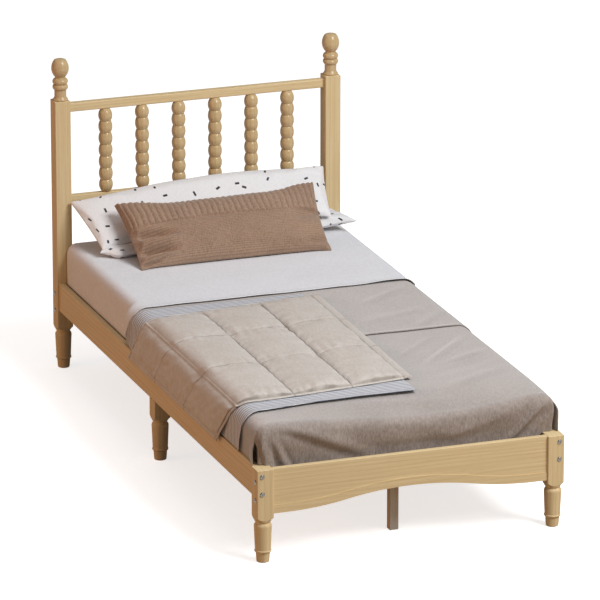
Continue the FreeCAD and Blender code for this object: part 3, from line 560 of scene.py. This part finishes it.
def throw_puff(s, t):
    """Height of the filling between the seams, with puckers drawn in along them, and of the bound hems."""
    a, near_a = between(s, throw_columns)
    b, near_b = between(t, throw_rows)
    if near_a < 0:
        wide = throw_right - throw_columns[-1] if s > 0 else throw_columns[0] + throw_reach
        return binding(-near_a, wide, 4.0) + 0.5 * grain_noise(s, t, 14.0, 2.9)
    if near_b < 0:
        return binding(-near_b, throw_rows[0], 2.6) + 0.8 * grain_noise(s, t, 12.0, 2.9)
    full = math.sin(math.pi * a) ** 0.5
    full *= (1 - math.exp(-t / 14.0)) * (1 - math.exp((t - throw_length) / 45.0))
    inner = min(abs(t - row) for row in throw_rows[1:-1])
    dashes = 0.5 + 0.5 * smooth(grain_noise(s, t * 0.1, 42.0, 1.7), -0.35, 0.1)
    full *= 1 - 0.16 * dashes * math.exp(-inner / 6.0) - 0.1 * math.exp(-(inner / 50.0) ** 2)
    high = top_puff if s > throw_columns[1] else side_puff
    from_pipe = smooth(abs(s - throw_columns[1]), 6.0, 40.0)
    tug = (from_pipe * pucker(near_a, 20.0, 6.0) * grain_noise(s * 0.2, t, 26.0, 4.6)
           + pucker(near_b, 40.0, 5.0) * grain_noise(s, t * 0.15, 18.0, 8.6)
           + 0.6 * pucker(inner, 30.0, 5.0) * grain_noise(s, t * 0.2, 20.0, 3.6))
    slack = 3.4 * grain_noise(s, t, 85.0, 6.4) + 2.2 * grain_noise(s + t, (s - t) * 0.3, 36.0, 5.1)
    return high * full + 8.0 * tug + slack * full


def throw_stitch(s, t):
    """How near a point lies to a stitched line, from 0 to 1, row lines broken here and there; the material
    paints shade by it.
    """
    column = min(abs(s - line) for line in throw_columns[2:])
    row = min(abs(t - line) for line in throw_rows)
    dashes = 0.35 + 0.65 * smooth(grain_noise(s, t * 0.1, 38.0, 1.7), -0.3, 0.1)
    return max(math.exp(-(column / 2.6) ** 2), dashes * math.exp(-(row / 3.6) ** 2))


def make_quilted_throw():
    """A quilted cotton throw, puffed between its seams, bound along its hems, hanging over the left rail."""
    under = stripe_high.z + 1.0 + throw_thick / 2
    columns = (-throw_reach,) + throw_columns + (throw_right,)
    rows = (0.0,) + throw_rows + (throw_length,)

    def place(u, v):
        s = seam_spread(u, columns)
        t = seam_spread(v, rows)
        share = t / throw_length
        x, down, tilt = over_side(s, cloth_flat, throw_turn)
        # It lies a little askew: its head edge runs towards the head on the right and on the hanging side,
        # and its foot edge bows down the bed at the left shoulder
        over = max(s, -cloth_flat) + cloth_flat
        bow = foot_bow * (1 - min(over / foot_bow_length, 1.0) ** 1.5)
        foot = throw_low.y - 23.0 + 0.03 * over - bow
        head = throw_low.y + 806.0 + 0.11 * over
        y = foot + share * (head - foot) + down * (0.8 - 0.15 * share)
        x += 13.0 * share * smooth(s, -cloth_flat, 60.0)
        puff = throw_puff(s, t)
        out_to_rail = 10.0 * smooth(down, 50.0, 128.0)
        out = puff + pipe_high * math.exp(-((s - throw_columns[1]) / 3.0) ** 2)
        sag = 1.5 * smooth(down, 60.0, 150.0) * max(0.0, grain_noise(t, 0.0, 75.0, 9.9))
        return (x + math.sin(tilt) * (out + sag) - out_to_rail,
                y, under - down + math.cos(tilt) * (out + lie(x, y)))

    def stitch_shade(u, v):
        return throw_stitch(seam_spread(u, columns), seam_spread(v, rows))

    # Nearness to a stitched line is kept for the material, which paints shade along it
    throw = cloth_grid("quilted_throw_soft", throw_reach + throw_right, throw_length, throw_cell, place,
                       marks={"stitch_shade": stitch_shade})
    give_thickness(throw, throw_thick, 0)
    return throw


# Pillows
white_half_length = 440.0     # of the white covers, flat
white_half_depth = 108.0
brown_half_length = 340.0
brown_depth = 278.0
brown_ribs = 35
rib_high = 7.6
rib_edge = 0.08               # where the ribs begin, from -1 at the lower edge to 1 at the upper
knit_courses = 45.67          # lines of knitting from its lower edge to its upper, coarser than real ones


def pillow_grid(name, length, depth, above, below, taper, pull, cell):
    """Two layers of cloth sewn together round their edge, with drawn-in sides and pointed corners.
    Each point keeps its place on the flat cover in the attributes across and along, both -1 to 1."""
    layers = []
    for face, crown in ((1.0, above), (-1.0, below)):
        def place(u, v, face=face, crown=crown):
            a = 2 * u - 1
            b = 2 * v - 1
            shorter = (abs(taper) - taper * b) / 2
            half = length / 2 - shorter - pull * (1 - b * b)
            deep = depth / 2 - pull * 0.5 * (1 - a ** 4)
            full = crown * (1 - abs(a) ** 2.4) ** 0.6 * (1 - b * b) ** 0.45
            return (a * half, b * deep, face * full)
        layers.append(cloth_grid(name + ("_front" if face > 0 else "_back"), length, depth, cell, place,
                                 marks={"across": lambda u, v: 2 * u - 1, "along": lambda u, v: 2 * v - 1}))
    only(layers[1])
    mode("EDIT")
    bpy.ops.mesh.select_all(action="SELECT")
    bpy.ops.mesh.flip_normals()
    mode("OBJECT")
    return joined(layers, name, 0.05)


def cover_places(piece):
    """The place of each point on the flat cover, across and along."""
    across = piece.data.attributes["across"].data
    along = piece.data.attributes["along"].data
    return [(a.value, b.value) for a, b in zip(across, along)]


def plump(piece, frames, most):
    """Blow the sewn cover up as its filling does, as simulated cloth, no point moving further than most."""
    only(piece)
    start = [p.co.copy() for p in piece.data.vertices]
    cloth = piece.modifiers.new("filling", "CLOTH")
    settings = cloth.settings
    settings.quality = 6
    settings.mass = 0.25
    settings.tension_stiffness = 14.0
    settings.compression_stiffness = 14.0
    settings.shear_stiffness = 5.0
    settings.bending_stiffness = 0.2
    settings.air_damping = 2.0
    settings.use_pressure = True
    settings.uniform_pressure_force = 4.0
    settings.effector_weights.gravity = 0.0
    cloth.point_cache.frame_start = 1
    cloth.point_cache.frame_end = frames
    for step in range(1, frames + 1):
        bpy.context.scene.frame_set(step)
    bpy.ops.object.modifier_apply(modifier=cloth.name)
    bpy.context.scene.frame_set(1)
    for point, before in zip(piece.data.vertices, start):
        went = point.co - before
        if went.length > most * MM:
            point.co = before + went * (most * MM / went.length)


def set_down(piece, node, lean, roll, size, shape):
    """Bring the pillow to its size, lean it back where its solid is and pull its edges into shape."""
    points = piece.data.vertices
    length, depth, above, below = (x * MM for x in size)
    wide = max(abs(p.co.x) for p in points)
    deep = max(abs(p.co.y) for p in points)
    high = max(p.co.z for p in points)
    low = -min(p.co.z for p in points)
    for p in points:
        p.co.x *= length / 2 / wide
        p.co.y *= depth / 2 / deep
        p.co.z *= above / high if p.co.z > 0 else below / low
    turn = Matrix.Rotation(math.radians(-roll), 4, "Y") @ Matrix.Rotation(math.radians(lean), 4, "X")
    piece.data.transform(turn)
    want_low, want_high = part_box(node)
    have_low = Vector([min(p.co[i] for p in points) for i in range(3)])
    have_high = Vector([max(p.co[i] for p in points) for i in range(3)])
    shift = (want_low + want_high) / 2 - (have_low + have_high) / 2
    shift.z = want_low.z - have_low.z
    piece.data.transform(Matrix.Translation(shift))
    for p, (a, b) in zip(points, cover_places(piece)):
        p.co += Vector(shape(a, b)) * MM


def make_pillow(node, size, taper, pull, cell, levels, lean, roll, detail, shape):
    """A stuffed pillow: sewn flat, filled, then leaned where its solid is.
    Its size is its length, its depth, and its height above and below the seam."""
    length, depth, above, below = size
    seam = 6.0
    slack = 0.8
    pillow = pillow_grid(node + "_soft", length + seam, depth + seam, above * slack, below * slack,
                         taper, pull, cell)
    plump(pillow, frames=20, most=18.0)
    soften(pillow, levels)
    apply_all(pillow)
    bpy.ops.object.shade_smooth()
    detail(pillow)
    set_down(pillow, node, lean, roll, size, shape)
    return pillow


def slack_cover(piece):
    """Soft dents in a white pillow's loose cover, and creases that run in from its corners."""
    for p, (a, b) in zip(piece.data.vertices, cover_places(piece)):
        x = a * white_half_length
        y = b * white_half_depth
        face = smooth(abs(p.co.z) / MM, 0.0, 8.0)
        end = smooth(abs(a), 0.5, 0.9)
        dent = 2.4 * grain_noise(x, y, 85.0, 3.3) + 2.6 * end * grain_noise(x * 0.35, y * 1.6, 30.0, 6.2)
        p.co.z += dent * face * MM


def flat_shape(a, b):
    """The lowest pillow: its left end pushed out to the front, its right corners standing up."""
    bulge = smooth(a, -0.98, -0.84) * (1 - smooth(a, -0.74, -0.5)) * smooth(-b, -0.5, 0.9)
    return 0.0, -40.0 * bulge, 20.0 * smooth(a, 0.57, 1.0) - 6.0 * bulge


def back_shape(a, b):
    """The rear pillow: its upper edge bows up between the corners."""
    return 0.0, 0.0, 40.0 * (1 - abs(a) ** 2.2) * smooth(b, -0.4, 1.0)


def brown_shape(a, b):
    """The brown pillow: the upper corners stand up, most at the right."""
    return 0.0, 0.0, (4.5 * (a + 1) - 3.0 + 9.0 * smooth(abs(a), 0.45, 0.85)) * smooth(b, -0.3, 1.0)


# Folds at the ends of the brown pillow, in from the end and up from its lower edge:
# start, stop, half width, height
left_folds = (
    ((20, 124), (150, 106), 14, -30.0),
    ((26, 92), (180, 84), 14, 16.0),
    ((14, 62), (150, 50), 13, -34.0),
    ((24, 36), (130, 32), 9, 14.0),
    ((4, 18), (95, 22), 8, -22.0),
)
right_folds = (
    ((10, 150), (130, 126), 13, -16.0),
    ((10, 96), (120, 86), 15, 11.0),
    ((5, 44), (105, 32), 11, -17.0),
)


def brown_detail(piece):
    """Thick ribs over the upper part of the brown pillow's front, folds drawn in at its ends."""
    for p, (a, b) in zip(piece.data.vertices, cover_places(piece)):
        face = smooth(p.co.z / MM, 0.0, 10.0)
        wander = 0.012 * grain_noise(a, b, 0.4, 3.7)
        band = smooth(b, rib_edge, rib_edge + 0.04) * (1 - smooth(abs(a), 0.965, 0.995))
        rise = rib_high * abs(math.cos(math.pi * (a + wander) * brown_ribs / 2)) ** 0.6 * band
        ledge = 1.6 * band - 3.6 * math.exp(-((b - rib_edge + 0.01) / 0.03) ** 2)
        up = (b + 1) * brown_depth / 2
        gather = sum(ridge((1 + a) * brown_half_length, up, *fold) for fold in left_folds)
        gather += sum(ridge((1 - a) * brown_half_length, up, *fold) for fold in right_folds)
        slack = 3.5 * grain_noise(a * 330.0, b * 300.0, 95.0, 2.6) * (1 - band)
        p.co.z += (rise + ledge + gather * (1 - band) + slack) * face * MM


mattress = make_mattress()
blanket = make_blanket()
white_sheet = make_white_sheet()
striped_sheet = make_striped_sheet()
quilted_throw = make_quilted_throw()
pillow_flat = make_pillow(
    "pillow_flat", (886.0, 206.0, 32.0, 21.5), taper=-50.0, pull=6.0, cell=9.0, levels=1,
    lean=0.0, roll=0.0, detail=slack_cover, shape=flat_shape)
pillow_back = make_pillow(
    "pillow_back", (878.0, 222.0, 40.0, 9.5), taper=45.0, pull=3.0, cell=9.0, levels=1,
    lean=31.0, roll=2.3, detail=slack_cover, shape=back_shape)
pillow_brown = make_pillow(
    "pillow_brown", (686.0, brown_depth, 76.0, 29.5), taper=18.0, pull=6.0, cell=8.0, levels=2,
    lean=33.0, roll=0.0, detail=brown_detail, shape=brown_shape)


# Materials
def linear(code):
    """Linear colour of an sRGB hex value."""
    parts = [int(code[i:i + 2], 16) / 255 for i in (1, 3, 5)]
    return tuple(c / 12.92 if c <= 0.04045 else ((c + 0.055) / 1.055) ** 2.4 for c in parts) + (1.0,)


def add(tree, kind, inputs=None, **settings):
    """Add one shader node with its settings, and set or link its inputs.
    A node given as an input stands for its first output."""
    node = tree.nodes.new("ShaderNode" + kind)
    for name, value in settings.items():
        setattr(node, name, value)
    for name, value in (inputs or {}).items():
        if isinstance(value, bpy.types.Node):
            value = value.outputs[0]
        if isinstance(value, bpy.types.NodeSocket):
            tree.links.new(value, node.inputs[name])
        else:
            node.inputs[name].default_value = value
    return node


def new_material(name):
    material = bpy.data.materials.new(name)
    material.use_nodes = True
    material.node_tree.nodes.clear()
    return material, material.node_tree


def finish_material(tree, shader):
    add(tree, "OutputMaterial", {"Surface": shader})


def wood(name, grain, colours, coat, rough):
    """Sawn and sanded wood whose fibres run along one axis: streaks, growth figure and pores."""
    material, tree = new_material(name)
    pale, middle, dark = (linear(c) for c in colours)
    place = add(tree, "TexCoord").outputs["Object"]
    lengthwise = "XYZ".index(grain)

    def drawn_out(across, along):
        """Object coordinates in which one unit is so many millimetres across and along the grain."""
        scale = [1 / (across * MM)] * 3
        scale[lengthwise] = 1 / (along * MM)
        return add(tree, "Mapping", {"Vector": place, "Scale": scale})

    # Fibre streaks are drawn 5 mm wide, coarser than real ones, so that they show
    fibre = add(tree, "TexNoise", {
        "Vector": drawn_out(5, 260), "Scale": 1.0, "Detail": 4.0, "Roughness": 0.6})
    # Growth figure: bands about 15 mm apart, drawn out along the grain
    wide = [1.0] * 3
    wide[lengthwise] = 0.07
    figure_place = add(tree, "Mapping", {"Vector": place, "Scale": wide, "Location": (0.013, 0.021, 0.008)})
    figure = add(tree, "TexWave", {"Vector": figure_place, "Scale": 21.0, "Distortion": 9.0,
                                   "Detail": 2.0, "Detail Scale": 0.7, "Detail Roughness": 0.5},
                 wave_type="BANDS", bands_direction="X" if grain == "Z" else "Z")
    # Pores are drawn 2.2 mm wide and 26 mm long, coarser than real ones
    pores = add(tree, "TexNoise", {"Vector": drawn_out(2.2, 26), "Scale": 1.0, "Detail": 1.0})
    pore_mask = add(tree, "MapRange", {"Value": pores, "From Min": 0.6, "From Max": 0.75})
    streaks = add(tree, "MapRange", {"Value": fibre, "From Min": 0.3, "From Max": 0.7})
    first = add(tree, "Mix", {0: streaks, 6: pale, 7: middle}, data_type="RGBA")
    lines = add(tree, "MapRange", {
        "Value": figure.outputs["Fac"], "From Min": 0.55, "From Max": 1.0, "To Max": 0.16})
    second = add(tree, "Mix", {0: lines, 6: first.outputs[2], 7: dark}, data_type="RGBA")
    specks = add(tree, "Math", {0: pore_mask, 1: 0.2}, operation="MULTIPLY")
    third = add(tree, "Mix", {0: specks, 6: second.outputs[2], 7: dark}, data_type="RGBA")
    sheen = add(tree, "MapRange", {"Value": fibre, "To Min": rough - 0.06, "To Max": rough + 0.08})
    relief = add(tree, "Bump", {"Height": fibre, "Strength": 0.12, "Distance": 0.4 * MM})
    shader = add(tree, "BsdfPrincipled", {
        "Base Color": third.outputs[2], "Roughness": sheen, "IOR": 1.5, "Specular IOR Level": 0.0,
        "Coat Weight": coat, "Coat Roughness": 0.16, "Normal": relief})
    finish_material(tree, shader)
    return material


def cloth(name, colours, fleck, thread, weight, sheen=0.25, fuzz=0.5):
    """Woven or knitted cloth: a fleck of two yarns, a thread texture and soft patches of wear.
    Fleck and thread are widths in millimetres, coarser than real yarns, so that they show."""
    material, tree = new_material(name)
    pale, dark = (linear(c) for c in colours)
    place = add(tree, "TexCoord").outputs["Object"]
    # The yarns run down the cloth, so a fleck is drawn three times as long that way as across
    run = add(tree, "Mapping", {"Vector": place, "Scale": (1.0, 0.33, 0.33)})
    yarn = add(tree, "TexNoise", {"Vector": run, "Scale": 1 / (fleck * MM), "Detail": 3.0, "Roughness": 0.7})
    patch = add(tree, "TexNoise", {"Vector": place, "Scale": 1 / (140 * MM), "Detail": 2.0})
    both = add(tree, "Mix", {0: 0.25, 2: yarn, 3: patch}, data_type="FLOAT")
    share = add(tree, "MapRange", {"Value": both, "From Min": 0.36, "From Max": 0.64})
    colour = add(tree, "Mix", {0: share, 6: pale, 7: dark}, data_type="RGBA")
    weave = add(tree, "TexNoise", {"Vector": place, "Scale": 1 / (thread * MM), "Detail": 2.0})
    relief = add(tree, "Bump", {"Height": weave, "Strength": weight, "Distance": 1.0 * MM})
    shader = add(tree, "BsdfPrincipled", {
        "Base Color": colour.outputs[2], "Roughness": 0.9, "Sheen Weight": sheen, "Sheen Roughness": fuzz,
        "Specular IOR Level": 0.2, "Normal": relief})
    finish_material(tree, shader)
    return material, tree, shader, colour


def tint(tree, shader, colour, share, tone):
    """Lay a second tone over a cloth's own colour by a share from 0 to 1."""
    mixed = add(tree, "Mix", {0: share, 6: colour.outputs[2], 7: linear(tone)}, data_type="RGBA")
    tree.links.new(mixed.outputs[2], shader.inputs["Base Color"])


# Lacquered hardwood: pale straw wood under a satin lacquer, so a soft gloss lies over fine brown streaks
lacquer_tones = ("#e1cca2", "#d6bd91", "#b49462")
lacquered = {axis: wood("satin lacquered hardwood along " + axis, axis, lacquer_tones, coat=0.1, rough=0.42)
             for axis in "XYZ"}
# Turned hardwood: heavier lacquer, so beads and balls shine more; their browner tones are painted shade
turned_tones_with_painted_shade = ("#ceb68d", "#c2a77a", "#9f8053")
turned = wood("lacquered turned hardwood", "Z", turned_tones_with_painted_shade, coat=0.55, rough=0.42)
# Unfinished softwood: paler and dry, for the slats and supports that nobody sees
# Its tones are made paler still, painted light that makes up for the shade under the bed
plain_tones_with_painted_light = ("#e0d8cc", "#d4cbbd", "#b3a693")
plain = {axis: wood("sanded softwood along " + axis, axis, plain_tones_with_painted_light, coat=0.0, rough=0.7)
         for axis in "XYZ"}

turned_nodes = ("spindle", "finial")
along_y = ("side_rail", "ledger", "centre_beam")
along_x = ("footboard", "headboard", "head_end_rail", "slat", "beam_cradle")
plain_nodes = ("slat", "ledger", "centre_leg", "centre_beam", "beam_cradle")


def steel_material():
    """Zinc-plated steel, turned and lightly brushed: grey metal whose fine scratches mix a lighter and a
    darker grey.
    """
    material, tree = new_material("zinc plated steel")
    place = add(tree, "TexCoord").outputs["Object"]
    scratch = add(tree, "TexNoise", {"Vector": place, "Scale": 1 / (1.2 * MM), "Detail": 3.0})
    tone = add(tree, "Mix", {0: scratch, 6: linear("#8e8c87"), 7: linear("#6b6964")}, data_type="RGBA")
    rough = add(tree, "MapRange", {"Value": scratch, "To Min": 0.28, "To Max": 0.46})
    shader = add(tree, "BsdfPrincipled", {
        "Base Color": tone.outputs[2], "Metallic": 1.0, "Roughness": rough})
    finish_material(tree, shader)
    return material


steel = steel_material()
steel_nodes = ("bolts", "barrel_nuts", "screws", "studs")

for name, part in nodes.items():
    if name.endswith(steel_nodes):
        finish = steel
    else:
        axis = "Y" if name.startswith(along_y) else "X" if name.startswith(along_x) else "Z"
        finish = (plain if name.startswith(plain_nodes) else lacquered)[axis]
        if name.startswith(turned_nodes):
            finish = turned
    part.data.materials.clear()
    part.data.materials.append(finish)


def striped_material():
    """Fine shirt-stripe cotton: grey-blue lines across the bed on off-white."""
    material, tree, shader, colour = cloth(
        "striped cotton", ("#dadadd", "#cfcfd3"), fleck=3.0, thread=2.0, weight=0.2, sheen=0.1)
    parts = add(tree, "SeparateXYZ", {0: add(tree, "TexCoord").outputs["Object"]})
    # One stripe and one gap take 13 mm along the bed
    steps = add(tree, "Math", {0: parts.outputs["Y"], 1: 13 * MM}, operation="DIVIDE")
    turn = add(tree, "Math", {0: steps}, operation="FRACT")
    line = add(tree, "MapRange", {"Value": turn, "From Min": 0.6, "From Max": 0.66})
    tint(tree, shader, colour, line, "#868c96")
    return material


def print_material():
    """White percale pillow cover with a sparse scatter of short charcoal dashes, each at its own angle."""
    material, tree, shader, colour = cloth(
        "printed white percale", ("#ebebec", "#e2e1e2"), fleck=4.0, thread=2.0, weight=0.15, sheen=0.1)
    # Places on the flat cover in metres: half its length and half its depth times across and along
    parts = {}
    for axis, name, half in (("X", "across", white_half_length), ("Y", "along", white_half_depth)):
        place = add(tree, "Attribute", attribute_name=name)
        parts[axis] = add(tree, "Math", {0: place.outputs["Fac"], 1: half * MM}, operation="MULTIPLY")
    cover = add(tree, "CombineXYZ", parts)
    # One dash, 15 by 7 mm, in each cell about 62 mm wide
    pitch = 62 * MM
    spread = add(tree, "Mapping", {"Vector": cover, "Scale": (1 / pitch, 1 / pitch, 1.0)})
    cells = add(tree, "TexVoronoi", {"Vector": spread, "Scale": 1.0, "Randomness": 0.75},
                voronoi_dimensions="2D")
    offset = add(tree, "VectorMath", {0: spread, 1: cells.outputs["Position"]}, operation="SUBTRACT")
    chance = add(tree, "SeparateColor", {0: cells.outputs["Color"]})
    angle = add(tree, "Math", {0: chance, 1: math.pi}, operation="MULTIPLY")
    spun = add(tree, "VectorRotate", {"Vector": offset, "Angle": angle}, rotation_type="Z_AXIS")
    ways = add(tree, "SeparateXYZ", {0: spun})
    masks = []
    for axis, half in (("X", 7.5), ("Y", 3.5)):
        off = add(tree, "Math", {0: ways.outputs[axis]}, operation="ABSOLUTE")
        edge = half * MM / pitch
        masks.append(add(tree, "MapRange", {
            "Value": off, "From Min": edge * 0.85, "From Max": edge * 1.15, "To Min": 1.0, "To Max": 0.0}))
    dash = add(tree, "Math", {0: masks[0], 1: masks[1]}, operation="MULTIPLY")
    kept = add(tree, "Math", {0: chance.outputs[1], 1: 0.2}, operation="GREATER_THAN")
    marks = add(tree, "Math", {0: dash, 1: kept}, operation="MULTIPLY")
    tint(tree, shader, colour, marks, "#3f3f44")
    return material


def blanket_material():
    """Brushed cotton blanket: two taupe yarns that give a heathered fleck, and a dry nap that is pale seen
    along the cloth. Its sheen is turned down on the hanging end as painted shade, so that face looks darker."""
    material, tree, shader, _ = cloth(
        "heathered taupe brushed cotton", ("#a59890", "#81746b"),
        fleck=4.5, thread=2.4, weight=0.3, fuzz=0.72)
    place = add(tree, "TexCoord").outputs["Object"]
    # Tufts of the nap are drawn 5 mm wide, coarser than real ones, so that they show
    tufts = add(tree, "TexNoise", {"Vector": place, "Scale": 1 / (5 * MM), "Detail": 2.0})
    bloom = add(tree, "MapRange", {
        "Value": tufts, "From Min": 0.35, "From Max": 0.65, "To Min": 0.78, "To Max": 0.88})
    # Painted shade: on the hanging end the sheen is turned down, darkening that face as if less light
    # reached it
    hang_shade = add(tree, "Attribute", attribute_name="hang_shade")
    brushed_and_painted_shade = add(tree, "MapRange", {"Value": hang_shade.outputs["Fac"], "To Min": 1.0, "To Max": 0.17})
    nap = add(tree, "Math", {0: bloom, 1: brushed_and_painted_shade}, operation="MULTIPLY")
    tree.links.new(nap.outputs[0], shader.inputs["Sheen Weight"])
    return material


def quilt_material():
    """Washed cotton quilt: pale beige, soft and dry, its stitched lines drawn in and darkened with painted
    shade.
    """
    material, tree, shader, colour = cloth(
        "washed beige cotton", ("#d1cac3", "#c4bbb2"), fleck=6.0, thread=2.2, weight=0.2, sheen=0.12)
    # Painted shade: the stitched lines, and the grooves they draw into the filling, are darkened in the
    # colour
    stitch_shade = add(tree, "Attribute", attribute_name="stitch_shade")
    share = add(tree, "Math", {0: stitch_shade.outputs["Fac"], 1: 0.55}, operation="MULTIPLY")
    tint(tree, shader, colour, share, "#7d7168")
    return material


def knit_material():
    """Brown cotton knit: matt yarn whose courses run across the pillow as fine lines."""
    material, tree, shader, colour = cloth(
        "brown cotton knit", ("#ad917c", "#8d725e"), fleck=3.0, thread=3.0, weight=0.5, sheen=0.3)
    place = add(tree, "Attribute", attribute_name="along")
    turn = add(tree, "Math", {0: place.outputs["Fac"], 1: math.pi * knit_courses}, operation="MULTIPLY")
    wave = add(tree, "Math", {0: turn}, operation="SINE")
    below = add(tree, "Math", {0: place.outputs["Fac"], 1: rib_edge - 0.01}, operation="LESS_THAN")
    line = add(tree, "MapRange", {"Value": wave, "From Min": 0.0, "From Max": 1.0, "To Max": 0.4})
    shade = add(tree, "Math", {0: line, 1: below}, operation="MULTIPLY")
    tint(tree, shader, colour, shade, "#6f5644")
    return material


# Mattress ticking: a cream knit, matt and slightly quilted
ticking = cloth("cream knitted ticking", ("#e3ddd2", "#d5cec2"), fleck=5.0, thread=2.5, weight=0.3)[0]
# Percale: smooth white cotton with hardly any sheen
percale = cloth("white cotton percale", ("#e7e8eb", "#dedee2"), fleck=6.0, thread=2.0, weight=0.12,
                sheen=0.1)[0]

printed = print_material()
for piece, material, slot, node in (
    (mattress, ticking, "mattress_cover", "mattress"),
    (blanket, blanket_material(), "taupe_blanket", "blanket"),
    (white_sheet, percale, "white_cotton", "white_sheet"),
    (striped_sheet, striped_material(), "striped_cotton", "striped_sheet"),
    (quilted_throw, quilt_material(), "quilted_cotton", "quilted_throw"),
    (pillow_flat, printed, "white_cotton", "pillow_flat"),
    (pillow_back, printed, "white_cotton", "pillow_back"),
    (pillow_brown, knit_material(), "brown_knit", "pillow_brown"),
):
    piece.data.materials.clear()
    piece.data.materials.append(material)
    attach(piece, "root")
    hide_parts(node)


# Floor, light and camera
def make_floor():
    deselect()
    bpy.ops.mesh.primitive_plane_add(size=40.0, location=(0, 0, 0))
    floor = bpy.context.object
    floor.name = "studio_floor"
    material, tree = new_material("pale studio floor")
    ray = add(tree, "LightPath")
    seen = add(tree, "Math", {0: ray.outputs["Is Camera Ray"], 1: ray.outputs["Is Glossy Ray"]},
               operation="MAXIMUM")
    through = add(tree, "Math", {0: seen, 1: ray.outputs["Is Transmission Ray"]}, operation="MAXIMUM")
    # The camera sees a white floor with a soft shadow; the light that it throws back is a room floor's
    matt = add(tree, "BsdfDiffuse", {"Color": linear("#f4f3f1")})
    white = add(tree, "Emission", {"Color": (1, 1, 1, 1), "Strength": 0.7})
    glow = add(tree, "AddShader", {0: matt, 1: white})
    room = add(tree, "BsdfDiffuse", {"Color": linear("#a88c6c")})
    both = add(tree, "MixShader", {0: through, 1: room, 2: glow})
    finish_material(tree, both)
    floor.data.materials.append(material)


def make_world():
    world = bpy.data.worlds.new("white studio")
    bpy.context.scene.world = world
    world.use_nodes = True
    tree = world.node_tree
    tree.nodes.clear()
    ray = add(tree, "LightPath")
    seen = add(tree, "Math", {0: ray.outputs["Is Camera Ray"], 1: ray.outputs["Is Transmission Ray"]},
               operation="MAXIMUM")
    level = add(tree, "MapRange", {"Value": seen, "To Min": 0.21, "To Max": 1.0})
    sky = add(tree, "Background", {"Color": (1, 1, 1, 1), "Strength": level})
    add(tree, "OutputWorld", {"Surface": sky})


def soft_box(name, place, aim, size, power, colour):
    """One large soft lamp, aimed at a point."""
    lamp = bpy.data.lights.new(name, "AREA")
    lamp.shape = "DISK"
    lamp.size = size
    lamp.energy = power
    lamp.color = linear(colour)[:3]
    holder = bpy.data.objects.new(name, lamp)
    bpy.context.scene.collection.objects.link(holder)
    holder.location = place
    holder.rotation_euler = (Vector(aim) - Vector(place)).to_track_quat("-Z", "Y").to_euler()


def make_camera():
    """The photograph's view: a long lens from high on the left of the foot end."""
    eye = bpy.data.cameras.new("photo camera")
    eye.sensor_width = 36.0
    eye.lens = 351.31
    eye.clip_end = 100.0
    holder = bpy.data.objects.new("photo camera", eye)
    bpy.context.scene.collection.objects.link(holder)
    yaw, pitch = math.radians(19.786), math.radians(17.659)
    ahead = Vector((math.sin(yaw) * math.cos(pitch), math.cos(yaw) * math.cos(pitch), -math.sin(pitch)))
    holder.location = (-5.9243, -16.4838, 6.0498)
    holder.rotation_euler = ahead.to_track_quat("-Z", "Y").to_euler()
    bpy.context.scene.camera = holder


make_floor()
make_world()
soft_box("key from the right", (2.3, -3.98, 4.9), aim=(0, 0, 0.3), size=3.0, power=345.0, colour="#ffffff")
soft_box("ceiling", (0.3, -0.3, 6.2), aim=(0, 0, 0.3), size=4.0, power=42.0, colour="#eff3ff")
soft_box("warm left", (-4.5, 0.3, 1.2), aim=(0, 0.2, 0.3), size=2.5, power=40.0, colour="#ffad60")
make_camera()
bpy.context.scene.view_settings.view_transform = "Standard"
